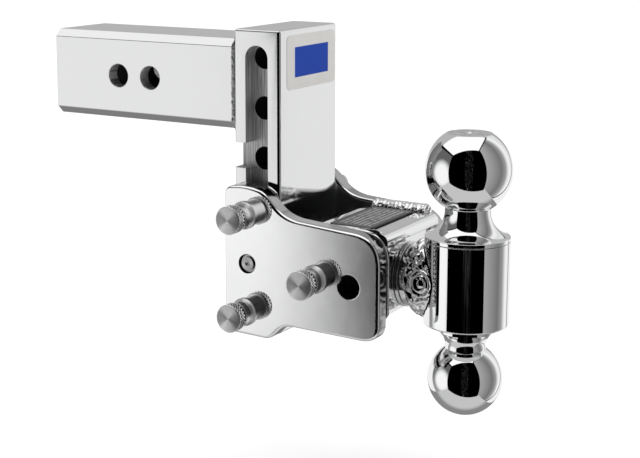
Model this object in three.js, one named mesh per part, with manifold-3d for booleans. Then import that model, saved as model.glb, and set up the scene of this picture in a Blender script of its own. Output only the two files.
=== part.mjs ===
// Adjustable drop hitch with two towing balls, for a 2-1/2 in. (63.5 mm) square receiver.
//
// Frame: millimetres, +Z up, +X from the shank towards the balls, Y across the vehicle.
// The origin is the centre of the shank on the axis of its first receiver-pin hole.

import * as THREE from 'three';
import { mergeVertices } from 'three/addons/utils/BufferGeometryUtils.js';
import Module from 'manifold-3d';

const wasm = await Module();
wasm.setup();

// ---------------------------------------------------------------- driving dimensions
const GAP = 0.3; // clearance kept between pieces that touch

// shank: square tube that slides into the receiver
const SHANK_SIZE = 63.5;
const SHANK_WALL = 9.5;
const SHANK_CHAMFER = 5.5;
const SHANK_END_X = -58.3;
const RECEIVER_PIN_HOLE_R = 8.4;
const RECEIVER_PIN_PITCH = 28.5;

// upright: solid bar welded across the end of the shank
const UPRIGHT_FRONT_X = 106;
const UPRIGHT_DEPTH = 36.8;
const UPRIGHT_WIDTH = 78.6;
const UPRIGHT_TOP_Z = 39.8;
const UPRIGHT_BOTTOM_Z = -172;
const UPRIGHT_EDGE = 1.6;

// guide slot down both sides of the upright, with through holes along its centre line
const SLOT_WIDTH = 17.4;
const SLOT_DEPTH = 10.7;
const SLOT_BOTTOM_Z = -156;
const ROW_TOP_Z = 20;
const ROW_PITCH = 35.2;
const ROW_COUNT = 5;
const ROW_HOLE_R = 8.2;
const KEY_WAY_TOP_Z = -39;
const KEY_WAY_HEIGHT = 17.5;

// carriage: two side plates and the block welded between them
const PLATE_THICKNESS = 12.7;
const PLATE_TOP_Z = -66.1;
const PLATE_REAR_X = 226.4;
const PLATE_BOTTOM_Z = -172.2;
const BLOCK_FRONT_X = 170;
const BLOCK_REAR_X = 222;
const BLOCK_TOP_Z = -91;
const BLOCK_BOTTOM_Z = -148.5;
const BLOCK_NOSE_R = 5.5;
const BLOCK_LIP_X = 226; // the block's top edge overhangs its rear face by this lip
const BLOCK_LIP_DEPTH = 8;
const WELD_LEG = 7;
const NEAR_WELD_RISE = 2.2; // the near bead stays below the plate's edge
const FAR_WELD_RISE = 5.6;

// pins
const PIN_R = 5.55;
const HEIGHT_PIN_X = 135.6;
const TOP_PIN_Z = -81.2;
const BOTTOM_PIN_Z = -147.9;
const PARK_PIN_X = 189.8;
const PARK_PIN_Z = -117.9;
const PIN_FAR_END_Y = 63;
const KNOB_END_R = 8.6;
const KNURL_R = 9.5;
const KNOB_NECK_R = 8.2;
const KNOB_REACH = 41.3; // from the plate to the knob's outer face
const COLLAR_LENGTH = 6;

// swivelling ball unit
const SWIVEL_Z = -126.3;
const STUB_R = 15;
const SHOULDER_R = 21.5;
const STUB_INNER_X = 196.6;
const LOCK_HOLE_X = 203.9;
const LOCK_HOLE_R = 8.35;
const BUSH_WALL = 1.6;
const BALL_X = 265.8;
const UPPER_BALL_R = 29.37; // 2-5/16 in. ball
const UPPER_BALL_Z = -50;
const UPPER_NECK_R = 15.5;
const UPPER_FLAT_R = 15.15;
const UPPER_FLARE_R = 17.3; // concave flare from the neck out to the barrel's edge
const UPPER_FLARE_Z = -77.3;
const UPPER_FOOT_EDGE = 0.8;
const LOWER_BALL_R = 25.4; // 2 in. ball
const LOWER_BALL_Z = -192.7;
const LOWER_NECK_R = 13.8;
const LOWER_FOOT_R = 19.8;
const LOWER_FLARE_R = 12;
const LOWER_FLARE_Z = -169.6;
const LOWER_FLAT_R = 6;
const BARREL_R = 28.8;
const BARREL_TOP_Z = -96.4;
const BARREL_BOTTOM_Z = -154.7;
const BARREL_TOP_RIM = 0.4;
const BARREL_BOTTOM_RIM = 1.8;
const BALL_STEM_R = 12.7;
const STUB_WELD_X = 229;
const STUB_WELD_R = 29;

// badge and rating plate, both blank
const BADGE_WIDTH = 66;
const BADGE_HEIGHT = 37.5;
const BADGE_CENTRE_Y = 2;
const BADGE_CENTRE_Z = 16.8;
const RATING_LENGTH = 33;
const RATING_WIDTH = 62;
const RATING_CENTRE_X = 193.5;
const RATING_CENTRE_Y = 1;
const SHEET_THICKNESS = 0.8;

// facets
const FINE = 32; // large round surfaces
const ROUND = 20; // pins, holes and other small round surfaces

// worked out
const SHANK_HALF = SHANK_SIZE / 2;
const UPRIGHT_REAR_X = UPRIGHT_FRONT_X + UPRIGHT_DEPTH;
const UPRIGHT_HALF = UPRIGHT_WIDTH / 2;
const SLOT_X = UPRIGHT_FRONT_X + UPRIGHT_DEPTH / 2;
const PLATE_INNER_Y = UPRIGHT_HALF + GAP;
const PLATE_OUTER_Y = PLATE_INNER_Y + PLATE_THICKNESS;
const BLOCK_HALF = UPRIGHT_HALF;
const BORE_R = PIN_R + GAP;
const KEY_Z = ROW_TOP_Z - 4 * ROW_PITCH; // in line with the lowest hole of the row
const KEY_SHANK_R = 6.35;
const KEY_FACE_R = 5;
const KEY_MARK_R = 1.6;
const KEY_MARK_DEPTH = 1.2;
const KEY_RECESS = 0.2;
const KEY_BOSS_R = SLOT_WIDTH / 2 - GAP;
const BUSH_R = STUB_R + GAP + BUSH_WALL;
const WASHER_THICKNESS = 2.5;
const WASHER_R = 22.5;
const SCREW_X = 215;
const SCREW_R = 5;
const SCREW_DOG_R = 3.4;
const SCREW_SOCKET_R = 2.6;
const SCREW_SOCKET_DEPTH = 3.4;
const GROOVE_DEPTH = 4;
const GROOVE_HALF_WIDTH = 4.5;
const CHROME = { color: 0xd4d6d8, metalness: 1, roughness: 0.12 };

// ---------------------------------------------------------------- solid helpers
function solid(geometry) {
  const bare = geometry.clone();
  bare.deleteAttribute('normal');
  bare.deleteAttribute('uv');
  const merged = mergeVertices(bare, 1e-4);
  const source = merged.index.array;
  const triVerts = [];
  for (let i = 0; i < source.length; i += 3) {
    const [a, b, c] = [source[i], source[i + 1], source[i + 2]];
    if (a !== b && b !== c && c !== a) triVerts.push(a, b, c);
  }
  return new wasm.Manifold(new wasm.Mesh({
    numProp: 3,
    vertProperties: new Float32Array(merged.attributes.position.array),
    triVerts: new Uint32Array(triVerts),
  }));
}

function geometryOf(manifold) {
  const mesh = manifold.getMesh();
  const geometry = new THREE.BufferGeometry();
  geometry.setAttribute('position', new THREE.BufferAttribute(mesh.vertProperties, 3));
  geometry.setIndex(new THREE.BufferAttribute(mesh.triVerts, 1));
  return geometry;
}

function cut(body, tools) {
  return tools.reduce((rest, tool) => rest.subtract(tool), body);
}

function box(x0, x1, y0, y1, z0, z1) {
  const geometry = new THREE.BoxGeometry(x1 - x0, y1 - y0, z1 - z0);
  return solid(geometry.translate((x0 + x1) / 2, (y0 + y1) / 2, (z0 + z1) / 2));
}

// round bar along Y through (x, z)
function barY(x, z, r, y0, y1, facets = ROUND) {
  const geometry = new THREE.CylinderGeometry(r, r, y1 - y0, facets);
  return solid(geometry.translate(x, (y0 + y1) / 2, z));
}

// round bar along X on the swivel axis
function barX(r, x0, x1, facets = FINE) {
  const geometry = new THREE.CylinderGeometry(r, r, x1 - x0, facets).rotateZ(Math.PI / 2);
  return solid(geometry.translate((x0 + x1) / 2, 0, SWIVEL_Z));
}

// round bar along Z through (x, 0)
function barZ(x, r, z0, z1, facets = FINE) {
  const geometry = new THREE.CylinderGeometry(r, r, z1 - z0, facets).rotateX(Math.PI / 2);
  return solid(geometry.translate(x, 0, (z0 + z1) / 2));
}

function extrude(shape, depth, curveSegments = 4) {
  return new THREE.ExtrudeGeometry(shape, { depth, bevelEnabled: false, curveSegments });
}

// outline in (Y, Z), swept along X
function prismX(shape, x0, x1, curveSegments) {
  const turn = new THREE.Matrix4().makeBasis(
    new THREE.Vector3(0, 1, 0), new THREE.Vector3(0, 0, 1), new THREE.Vector3(1, 0, 0));
  return solid(extrude(shape, x1 - x0, curveSegments).applyMatrix4(turn).translate(x0, 0, 0));
}

// outline in (X, Z), swept along Y
function prismY(shape, y0, y1, curveSegments) {
  const geometry = extrude(shape, y1 - y0, curveSegments).rotateX(Math.PI / 2);
  return solid(geometry.translate(0, y1, 0));
}

// outline in (X, Y), swept along Z
function prismZ(shape, z0, z1, curveSegments) {
  return solid(extrude(shape, z1 - z0, curveSegments).translate(0, 0, z0));
}

function chamferedSquare(half, chamfer) {
  const inner = half - chamfer;
  const corners = [[half, -inner], [half, inner], [inner, half], [-inner, half],
    [-half, inner], [-half, -inner], [-inner, -half], [inner, -half]];
  return new THREE.Shape(corners.map(([u, v]) => new THREE.Vector2(u, v)));
}

function roundedRectangle(u0, u1, v0, v1, r) {
  const shape = new THREE.Shape();
  shape.moveTo(u0 + r, v0);
  shape.lineTo(u1 - r, v0);
  shape.absarc(u1 - r, v0 + r, r, -Math.PI / 2, 0, false);
  shape.lineTo(u1, v1 - r);
  shape.absarc(u1 - r, v1 - r, r, 0, Math.PI / 2, false);
  shape.lineTo(u0 + r, v1);
  shape.absarc(u0 + r, v1 - r, r, Math.PI / 2, Math.PI, false);
  shape.lineTo(u0, v0 + r);
  shape.absarc(u0 + r, v0 + r, r, Math.PI, 1.5 * Math.PI, false);
  return shape;
}

// profile of [radius, height] pairs from the bottom up, turned about a vertical axis
function turned(profile, facets) {
  const points = profile.map(([r, h]) => new THREE.Vector2(r, h));
  return new THREE.LatheGeometry(points, facets).rotateX(Math.PI / 2);
}

// points on an arc in the profile plane, angles in degrees
function arc(cr, ch, r, fromDeg, toDeg, steps) {
  return Array.from({ length: steps + 1 }, (_, i) => {
    const a = THREE.MathUtils.degToRad(fromDeg + ((toDeg - fromDeg) * i) / steps);
    return [cr + r * Math.cos(a), ch + r * Math.sin(a)];
  });
}

// four-sided frustum about the X axis with chamfered corners
function squareFrustum(x0, half0, x1, half1, corner) {
  const ring = (x, half) => {
    const inner = half - corner;
    return [[half, -inner], [half, inner], [inner, half], [-inner, half],
      [-half, inner], [-half, -inner], [-inner, -half], [inner, -half]].map(([y, z]) => [x, y, z]);
  };
  const points = [...ring(x0, half0), ...ring(x1, half1)];
  const faces = [];
  for (let i = 0; i < 8; i += 1) {
    const j = (i + 1) % 8;
    faces.push(i, j, i + 8, j, j + 8, i + 8);
  }
  for (let i = 1; i < 7; i += 1) faces.push(0, i + 1, i, 8, 8 + i, 9 + i);
  const geometry = new THREE.BufferGeometry();
  geometry.setAttribute('position', new THREE.Float32BufferAttribute(points.flat(), 3));
  geometry.setIndex(faces);
  return solid(geometry);
}

// ---------------------------------------------------------------- shank and upright
function shankTube() {
  const outline = chamferedSquare(SHANK_HALF, SHANK_CHAMFER);
  const inner = SHANK_HALF - SHANK_WALL;
  const hollow = roundedRectangle(-inner, inner, -inner, inner, SHANK_CHAMFER / 2);
  const end = UPRIGHT_FRONT_X - GAP;
  const tube = prismX(outline, SHANK_END_X, end).subtract(prismX(hollow, SHANK_END_X - 1, end + 1, 2));
  return cut(tube, [0, RECEIVER_PIN_PITCH].map(
    (x) => barY(x, 0, RECEIVER_PIN_HOLE_R, -SHANK_SIZE, SHANK_SIZE, ROUND)));
}

function shankWeld() {
  const end = UPRIGHT_FRONT_X - GAP;
  const bead = squareFrustum(end - WELD_LEG - 1, SHANK_HALF + 1, end, SHANK_HALF + WELD_LEG, SHANK_CHAMFER);
  const tube = prismX(chamferedSquare(SHANK_HALF + GAP, SHANK_CHAMFER), 0, UPRIGHT_REAR_X);
  return bead.subtract(tube);
}

function slotOutline() {
  const r = SLOT_WIDTH / 2;
  const shape = new THREE.Shape();
  shape.absarc(SLOT_X, ROW_TOP_Z, r, 0, Math.PI, false);
  shape.absarc(SLOT_X, SLOT_BOTTOM_Z, r, Math.PI, 2 * Math.PI, false);
  return shape;
}

function uprightBar() {
  const e = UPRIGHT_EDGE;
  const outline = roundedRectangle(
    UPRIGHT_FRONT_X + e, UPRIGHT_REAR_X - e, -UPRIGHT_HALF + e, UPRIGHT_HALF - e, 0.4);
  const geometry = new THREE.ExtrudeGeometry(outline, {
    depth: UPRIGHT_TOP_Z - UPRIGHT_BOTTOM_Z - 2 * e,
    bevelSize: e,
    bevelThickness: e,
    bevelSegments: 2,
    curveSegments: 1,
  });
  const bar = solid(geometry.translate(0, 0, UPRIGHT_BOTTOM_Z + e));
  const floor = UPRIGHT_HALF - SLOT_DEPTH;
  const tools = [];
  for (const [y0, y1] of [[floor, UPRIGHT_WIDTH], [-UPRIGHT_WIDTH, -floor]]) {
    tools.push(prismY(slotOutline(), y0, y1, 8));
    tools.push(box(UPRIGHT_FRONT_X - 1, SLOT_X, y0, y1, KEY_WAY_TOP_Z - KEY_WAY_HEIGHT, KEY_WAY_TOP_Z));
  }
  for (let i = 0; i < ROW_COUNT; i += 1) {
    tools.push(barY(SLOT_X, ROW_TOP_Z - i * ROW_PITCH, ROW_HOLE_R, -UPRIGHT_WIDTH, UPRIGHT_WIDTH));
  }
  for (const z of [TOP_PIN_Z, BOTTOM_PIN_Z]) {
    tools.push(barY(HEIGHT_PIN_X, z, BORE_R, -UPRIGHT_WIDTH, UPRIGHT_WIDTH));
  }
  return cut(bar, tools);
}

function badgePlate() {
  const w = BADGE_WIDTH / 2;
  const h = BADGE_HEIGHT / 2;
  const outline = roundedRectangle(
    BADGE_CENTRE_Y - w, BADGE_CENTRE_Y + w, BADGE_CENTRE_Z - h, BADGE_CENTRE_Z + h, 4);
  const x0 = UPRIGHT_REAR_X + GAP;
  return prismX(outline, x0, x0 + SHEET_THICKNESS, 3);
}

// ---------------------------------------------------------------- carriage
// Plate seen from the side: a deep front lobe over the upright, stepped down behind it.
function plateOutline() {
  const front = UPRIGHT_FRONT_X - 0.5;
  const waistTop = -88;
  const waistBottom = -160.8;
  const shape = new THREE.Shape();
  shape.moveTo(front, PLATE_BOTTOM_Z + 7);
  shape.lineTo(front, PLATE_TOP_Z - 8);
  shape.quadraticCurveTo(front, PLATE_TOP_Z - 1.5, front + 7, PLATE_TOP_Z - 0.8);
  shape.quadraticCurveTo(front + 20, PLATE_TOP_Z + 0.8, front + 29, PLATE_TOP_Z - 2);
  shape.bezierCurveTo(front + 40, PLATE_TOP_Z - 7, front + 40, waistTop + 3.5, front + 60, waistTop + 1.5);
  shape.lineTo(PLATE_REAR_X - 20, waistTop - 1.5);
  shape.quadraticCurveTo(PLATE_REAR_X, waistTop - 3, PLATE_REAR_X, waistTop - 24);
  shape.lineTo(PLATE_REAR_X, waistBottom + 10);
  shape.quadraticCurveTo(PLATE_REAR_X, waistBottom - 1.5, PLATE_REAR_X - 14, waistBottom - 1.4);
  shape.lineTo(front + 54, waistBottom);
  shape.bezierCurveTo(
    front + 42, waistBottom, front + 42, PLATE_BOTTOM_Z, front + 32, PLATE_BOTTOM_Z);
  shape.lineTo(front + 7, PLATE_BOTTOM_Z + 0.8);
  shape.quadraticCurveTo(front, PLATE_BOTTOM_Z + 0.5, front, PLATE_BOTTOM_Z + 7);
  return shape;
}

function sidePlate(side) {
  const ys = [side * PLATE_INNER_Y, side * PLATE_OUTER_Y].sort((a, b) => a - b);
  const tool = (x, z, r) => barY(x, z, r, ys[0] - 1, ys[1] + 1);
  return cut(prismY(plateOutline(), ys[0], ys[1], 6), [
    tool(HEIGHT_PIN_X, TOP_PIN_Z, BORE_R),
    tool(HEIGHT_PIN_X, BOTTOM_PIN_Z, BORE_R),
    tool(PARK_PIN_X, PARK_PIN_Z, BORE_R),
    tool(LOCK_HOLE_X, SWIVEL_Z, LOCK_HOLE_R),
    tool(SLOT_X, KEY_Z, KEY_SHANK_R + GAP),
  ]);
}

// Stepped key: its shank fills the plate's hole and its boss runs in the upright's slot.
function guideKey(side) {
  const bossEnd = UPRIGHT_HALF - SLOT_DEPTH + 1;
  const face = PLATE_OUTER_Y - KEY_RECESS;
  const geometry = turned([
    [0, bossEnd], [KEY_BOSS_R, bossEnd], [KEY_BOSS_R, PLATE_INNER_Y - GAP],
    [KEY_SHANK_R, PLATE_INNER_Y - GAP], [KEY_SHANK_R, face - 1], [KEY_FACE_R, face],
    [KEY_MARK_R, face], [0, face - KEY_MARK_DEPTH]], ROUND);
  geometry.rotateX(-side * Math.PI / 2);
  return solid(geometry.translate(SLOT_X, 0, KEY_Z));
}

// Block with a rounded lip along its top rear edge.
function swivelBlock() {
  const r = BLOCK_NOSE_R;
  const lipZ = BLOCK_TOP_Z - BLOCK_LIP_DEPTH;
  const shape = new THREE.Shape();
  shape.moveTo(BLOCK_FRONT_X, BLOCK_BOTTOM_Z);
  shape.lineTo(BLOCK_REAR_X, BLOCK_BOTTOM_Z);
  shape.lineTo(BLOCK_REAR_X, lipZ);
  shape.lineTo(BLOCK_LIP_X, lipZ);
  shape.absarc(BLOCK_LIP_X - r, BLOCK_TOP_Z - r, r, 0, Math.PI / 2, false);
  shape.lineTo(BLOCK_FRONT_X, BLOCK_TOP_Z);
  const block = prismY(shape, -BLOCK_HALF, BLOCK_HALF, 5);
  return cut(block, [
    barX(BUSH_R + GAP, STUB_INNER_X - GAP, BLOCK_LIP_X + 1),
    barY(PARK_PIN_X, PARK_PIN_Z, BORE_R, -BLOCK_HALF - 1, BLOCK_HALF + 1),
    barY(LOCK_HOLE_X, SWIVEL_Z, BORE_R, -BLOCK_HALF - 1, BLOCK_HALF + 1),
    barZ(SCREW_X, SCREW_R + GAP, BLOCK_BOTTOM_Z - 1, SWIVEL_Z, ROUND),
  ]);
}

// fillet bead along X in the corner between the block's top and a plate
function topWeld(side, rise) {
  const y = side * (PLATE_INNER_Y - GAP);
  const z = BLOCK_TOP_Z + GAP;
  const shape = new THREE.Shape();
  const corners = [[y, z], [y - side * WELD_LEG, z], [y - side * WELD_LEG * 0.45, z + rise * 0.62],
    [y, z + rise]];
  if (side > 0) corners.reverse();
  corners.forEach(([u, v], i) => (i ? shape.lineTo(u, v) : shape.moveTo(u, v)));
  return prismX(shape, BLOCK_FRONT_X + 4, BLOCK_LIP_X - BLOCK_NOSE_R, 1);
}

// upright bead in the corner between the block's rear face and a plate
function rearWeld(side) {
  const y = side * (PLATE_INNER_Y - GAP);
  const x = BLOCK_REAR_X + GAP;
  const shape = new THREE.Shape();
  const corners = [[x, y - side * WELD_LEG], [x, y], [x + WELD_LEG * 0.75, y],
    [x + WELD_LEG * 0.55, y - side * WELD_LEG * 0.55]];
  if (side > 0) corners.reverse();
  corners.forEach(([u, v], i) => (i ? shape.lineTo(u, v) : shape.moveTo(u, v)));
  return prismZ(shape, BLOCK_BOTTOM_Z, BLOCK_TOP_Z - BLOCK_LIP_DEPTH - GAP, 1);
}

function ratingPlate() {
  const outline = roundedRectangle(RATING_CENTRE_X - RATING_LENGTH / 2, RATING_CENTRE_X + RATING_LENGTH / 2,
    RATING_CENTRE_Y - RATING_WIDTH / 2, RATING_CENTRE_Y + RATING_WIDTH / 2, 1);
  return prismZ(outline, BLOCK_TOP_Z + GAP, BLOCK_TOP_Z + GAP + SHEET_THICKNESS, 1);
}

function swivelBush() {
  const tube = barX(BUSH_R, STUB_INNER_X, BLOCK_REAR_X).subtract(
    barX(STUB_R + GAP, STUB_INNER_X - 1, BLOCK_REAR_X + 1));
  return cut(tube, [
    barY(LOCK_HOLE_X, SWIVEL_Z, BORE_R, -BLOCK_HALF, BLOCK_HALF),
    barZ(SCREW_X, SCREW_R + GAP, BLOCK_BOTTOM_Z - 1, SWIVEL_Z, ROUND),
  ]);
}

function thrustWasher() {
  const x0 = BLOCK_REAR_X + GAP;
  return barX(WASHER_R, x0, x0 + WASHER_THICKNESS).subtract(
    barX(STUB_R + GAP, x0 - 1, x0 + WASHER_THICKNESS + 1));
}

// Dog-point screw from below: its tip runs in the stub's groove and keeps the stub in.
function retainingScrew() {
  const tip = SWIVEL_Z - STUB_R + GROOVE_DEPTH - 2 * GAP;
  const dog = SWIVEL_Z - BUSH_R - 1;
  const head = BLOCK_BOTTOM_Z + 0.4;
  const socket = head + SCREW_SOCKET_DEPTH;
  const geometry = turned([
    [0, socket], [SCREW_SOCKET_R, socket], [SCREW_SOCKET_R, head], [SCREW_R, head], [SCREW_R, dog],
    [SCREW_DOG_R, dog + 1.5], [SCREW_DOG_R, tip], [0, tip]], ROUND);
  return solid(geometry.translate(SCREW_X, 0, 0));
}

// ---------------------------------------------------------------- ball unit
function swivelStub() {
  const shoulder = BLOCK_REAR_X + WASHER_THICKNESS + 2 * GAP;
  const end = BALL_X - BARREL_R + 9;
  const geometry = turned([
    [0, STUB_INNER_X], [STUB_R - 1, STUB_INNER_X], [STUB_R, STUB_INNER_X + 1],
    [STUB_R, SCREW_X - GROOVE_HALF_WIDTH], [STUB_R - GROOVE_DEPTH, SCREW_X - GROOVE_HALF_WIDTH],
    [STUB_R - GROOVE_DEPTH, SCREW_X + GROOVE_HALF_WIDTH], [STUB_R, SCREW_X + GROOVE_HALF_WIDTH],
    [STUB_R, shoulder], [SHOULDER_R, shoulder], [SHOULDER_R, end], [0, end]], FINE);
  const stub = solid(geometry.rotateY(Math.PI / 2).translate(0, 0, SWIVEL_Z));
  return cut(stub, [
    barY(LOCK_HOLE_X, SWIVEL_Z, BORE_R, -2 * STUB_R, 2 * STUB_R),
    barZ(BALL_X, BARREL_R + GAP, BARREL_BOTTOM_Z - 1, BARREL_TOP_Z + 1, 48),
  ]);
}

// Saddle of weld between the stub's shoulder and the barrel.
function stubWeld() {
  const x0 = STUB_WELD_X;
  const geometry = turned([
    [0, x0], [SHOULDER_R + 1.2, x0], [SHOULDER_R + 3.5, x0 + 1], [STUB_WELD_R - 2, x0 + 4.5],
    [STUB_WELD_R, x0 + 9], [STUB_WELD_R - 1, BALL_X], [0, BALL_X]], FINE);
  const cone = solid(geometry.rotateY(Math.PI / 2).translate(0, 0, SWIVEL_Z));
  const reach = barZ(BALL_X, BARREL_R + 9, BARREL_BOTTOM_Z + 1, BARREL_TOP_Z - 1, 48);
  return cut(cone.intersect(reach), [
    barZ(BALL_X, BARREL_R + GAP, BARREL_BOTTOM_Z - 9, BARREL_TOP_Z + 9, 48),
    barX(SHOULDER_R + GAP, x0 - 1, BALL_X + 1),
  ]);
}

function ballBarrel() {
  const bore = BALL_STEM_R + GAP;
  const top = BARREL_TOP_Z - 2 * GAP;
  const geometry = turned([
    [bore, BARREL_BOTTOM_Z], [BARREL_R - BARREL_BOTTOM_RIM, BARREL_BOTTOM_Z],
    [BARREL_R, BARREL_BOTTOM_Z + BARREL_BOTTOM_RIM], [BARREL_R, top - BARREL_TOP_RIM],
    [BARREL_R - BARREL_TOP_RIM, top], [bore, top], [bore, BARREL_BOTTOM_Z]], 48);
  return solid(geometry.translate(BALL_X, 0, 0));
}

// angle through which a flare of radius r turns as it reaches out by the given amount
function flareTurn(reach, r) {
  return THREE.MathUtils.radToDeg(Math.acos(1 - reach / r));
}

// Ball, neck and flared foot in one piece, on a stem pressed into the barrel.
function upperBall() {
  const foot = BARREL_TOP_Z - GAP;
  const turn = flareTurn(BARREL_R - UPPER_FOOT_EDGE - UPPER_NECK_R, UPPER_FLARE_R);
  const flare = arc(UPPER_NECK_R + UPPER_FLARE_R, UPPER_FLARE_Z, UPPER_FLARE_R, 180 + turn, 180, 7);
  const rim = flare[0][1] - UPPER_FOOT_EDGE;
  const stemEnd = (BARREL_TOP_Z + BARREL_BOTTOM_Z) / 2 + GAP;
  const low = THREE.MathUtils.radToDeg(Math.acos(UPPER_NECK_R / UPPER_BALL_R));
  const high = THREE.MathUtils.radToDeg(Math.acos(UPPER_FLAT_R / UPPER_BALL_R));
  const geometry = turned([
    [0, stemEnd], [BALL_STEM_R, stemEnd], [BALL_STEM_R, foot], [BARREL_R, foot], [BARREL_R, rim],
    ...flare,
    ...arc(0, UPPER_BALL_Z, UPPER_BALL_R, -low, high, 14),
    [0, UPPER_BALL_Z + UPPER_BALL_R * Math.sin(THREE.MathUtils.degToRad(high))]], FINE);
  return solid(geometry.translate(BALL_X, 0, 0));
}

function lowerBall() {
  const foot = BARREL_BOTTOM_Z - GAP;
  const stemEnd = (BARREL_TOP_Z + BARREL_BOTTOM_Z) / 2 - GAP;
  const neck = THREE.MathUtils.radToDeg(Math.acos(LOWER_NECK_R / LOWER_BALL_R));
  const flat = THREE.MathUtils.radToDeg(Math.acos(LOWER_FLAT_R / LOWER_BALL_R));
  const turn = flareTurn(LOWER_FOOT_R - LOWER_NECK_R, LOWER_FLARE_R);
  const geometry = turned([
    [0, LOWER_BALL_Z - LOWER_BALL_R * Math.sin(THREE.MathUtils.degToRad(flat))],
    ...arc(0, LOWER_BALL_Z, LOWER_BALL_R, -flat, neck, 13),
    ...arc(LOWER_NECK_R + LOWER_FLARE_R, LOWER_FLARE_Z, LOWER_FLARE_R, 180, 180 - turn, 5),
    [LOWER_FOOT_R, foot],
    [BALL_STEM_R, foot], [BALL_STEM_R, stemEnd], [0, stemEnd]], FINE);
  return solid(geometry.translate(BALL_X, 0, 0));
}

// ---------------------------------------------------------------- pins
const PIN_GROOVE_Y = PLATE_INNER_Y + 6;
const PIN_GROOVE_WIDTH = 2.4;
const PIN_GROOVE_R = 4.3;
const CLIP_HOLE_R = 1.6;
const KNOB_BORE_START = 12; // from the knob's face to the end of its blind bore
const CLIP_HOLE_Y = PLATE_OUTER_Y + 5;
const KNOB_FACE_Y = -PLATE_OUTER_Y - KNOB_REACH;

// profiles of the pin's pieces run along Y, so heights are Y values
function turnedAlongY(profile, x, z, facets = ROUND) {
  return solid(turned(profile, facets).rotateX(-Math.PI / 2).translate(x, 0, z));
}

function pinShaft(x, z) {
  const g0 = PIN_GROOVE_Y - PIN_GROOVE_WIDTH / 2;
  const g1 = PIN_GROOVE_Y + PIN_GROOVE_WIDTH / 2;
  const bed = KNOB_FACE_Y + KNOB_BORE_START;
  const shaft = turnedAlongY([
    [0, bed], [PIN_R, bed], [PIN_R, g0], [PIN_GROOVE_R, g0],
    [PIN_GROOVE_R, g1], [PIN_R, g1], [PIN_R, PIN_FAR_END_Y - 2], [PIN_R - 1.6, PIN_FAR_END_Y],
    [0, PIN_FAR_END_Y]], x, z);
  const clipHole = new THREE.CylinderGeometry(CLIP_HOLE_R, CLIP_HOLE_R, 4 * PIN_R, 12).rotateX(Math.PI / 2);
  return shaft.subtract(solid(clipHole.translate(x, CLIP_HOLE_Y, z)));
}

function pinKnob(x, z) {
  const face = KNOB_FACE_Y;
  const bore = PIN_R + GAP;
  const foot = -PLATE_OUTER_Y - COLLAR_LENGTH - 2 * GAP;
  return turnedAlongY([
    [0, face], [KNOB_END_R - 0.6, face], [KNOB_END_R, face + 0.6], [KNURL_R, face + 1.4],
    [KNURL_R, face + 7], [KNOB_END_R, face + 7.6], [KNOB_END_R, face + 18],
    [KNURL_R, face + 19], [KNURL_R, face + 22], [KNOB_NECK_R, face + 23], [KNOB_NECK_R, foot],
    [bore, foot], [bore, face + KNOB_BORE_START - GAP], [0, face + KNOB_BORE_START - GAP]], x, z);
}

function pinCollar(x, z) {
  const y0 = -PLATE_OUTER_Y - GAP - COLLAR_LENGTH;
  const y1 = -PLATE_OUTER_Y - GAP;
  const bore = PIN_R + GAP;
  return turnedAlongY([
    [bore, y0], [KNURL_R - 0.8, y0], [KNURL_R, y0 + 0.8], [KNURL_R, y1 - 0.8], [KNURL_R - 0.8, y1],
    [bore, y1], [bore, y0]], x, z);
}

function pinRing(x, z) {
  const inner = PIN_GROOVE_R + 0.1;
  const outer = PIN_R + 0.15;
  const half = PIN_GROOVE_WIDTH / 2 - 0.2;
  return turnedAlongY([
    [inner, PIN_GROOVE_Y - half], [outer - 0.3, PIN_GROOVE_Y - half], [outer, PIN_GROOVE_Y - half / 2],
    [outer, PIN_GROOVE_Y + half / 2], [outer - 0.3, PIN_GROOVE_Y + half],
    [inner, PIN_GROOVE_Y + half], [inner, PIN_GROOVE_Y - half]], x, z);
}

// ---------------------------------------------------------------- assembly
function piece(group, name, body, finish) {
  const mesh = new THREE.Mesh(geometryOf(body), new THREE.MeshStandardMaterial(finish));
  mesh.name = name;
  group.add(mesh);
}

const STEEL = { color: 0xb9bbbd, metalness: 1, roughness: 0.3 };
const KNOB_STEEL = { color: 0x9a9c9e, metalness: 1, roughness: 0.35 };
const WELD = { color: 0x8c8e90, metalness: 1, roughness: 0.35 };
const ENAMEL = { color: 0xe9ecee, metalness: 0, roughness: 0.4 };
const BRONZE = { color: 0xa9834a, metalness: 1, roughness: 0.4 };
const RUBBER = { color: 0x1b1b1c, metalness: 0, roughness: 0.8 };

const hitch = new THREE.Group();
piece(hitch, 'shank_tube', shankTube(), CHROME);
piece(hitch, 'shank_weld', shankWeld(), WELD);
piece(hitch, 'upright', uprightBar(), CHROME);
piece(hitch, 'badge_plate', badgePlate(), ENAMEL);
for (const [name, side, rise] of [['near', -1, NEAR_WELD_RISE], ['far', 1, FAR_WELD_RISE]]) {
  piece(hitch, `side_plate_${name}`, sidePlate(side), CHROME);
  piece(hitch, `guide_key_${name}`, guideKey(side), STEEL);
  piece(hitch, `block_weld_top_${name}`, topWeld(side, rise), WELD);
  piece(hitch, `block_weld_rear_${name}`, rearWeld(side), WELD);
}
piece(hitch, 'swivel_block', swivelBlock(), CHROME);
piece(hitch, 'rating_plate', ratingPlate(), ENAMEL);
piece(hitch, 'swivel_bush', swivelBush(), BRONZE);
piece(hitch, 'thrust_washer', thrustWasher(), STEEL);
piece(hitch, 'retaining_screw', retainingScrew(), STEEL);
piece(hitch, 'swivel_stub', swivelStub(), CHROME);
piece(hitch, 'stub_weld', stubWeld(), WELD);
piece(hitch, 'ball_barrel', ballBarrel(), CHROME);
piece(hitch, 'upper_ball', upperBall(), CHROME);
piece(hitch, 'lower_ball', lowerBall(), CHROME);
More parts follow.
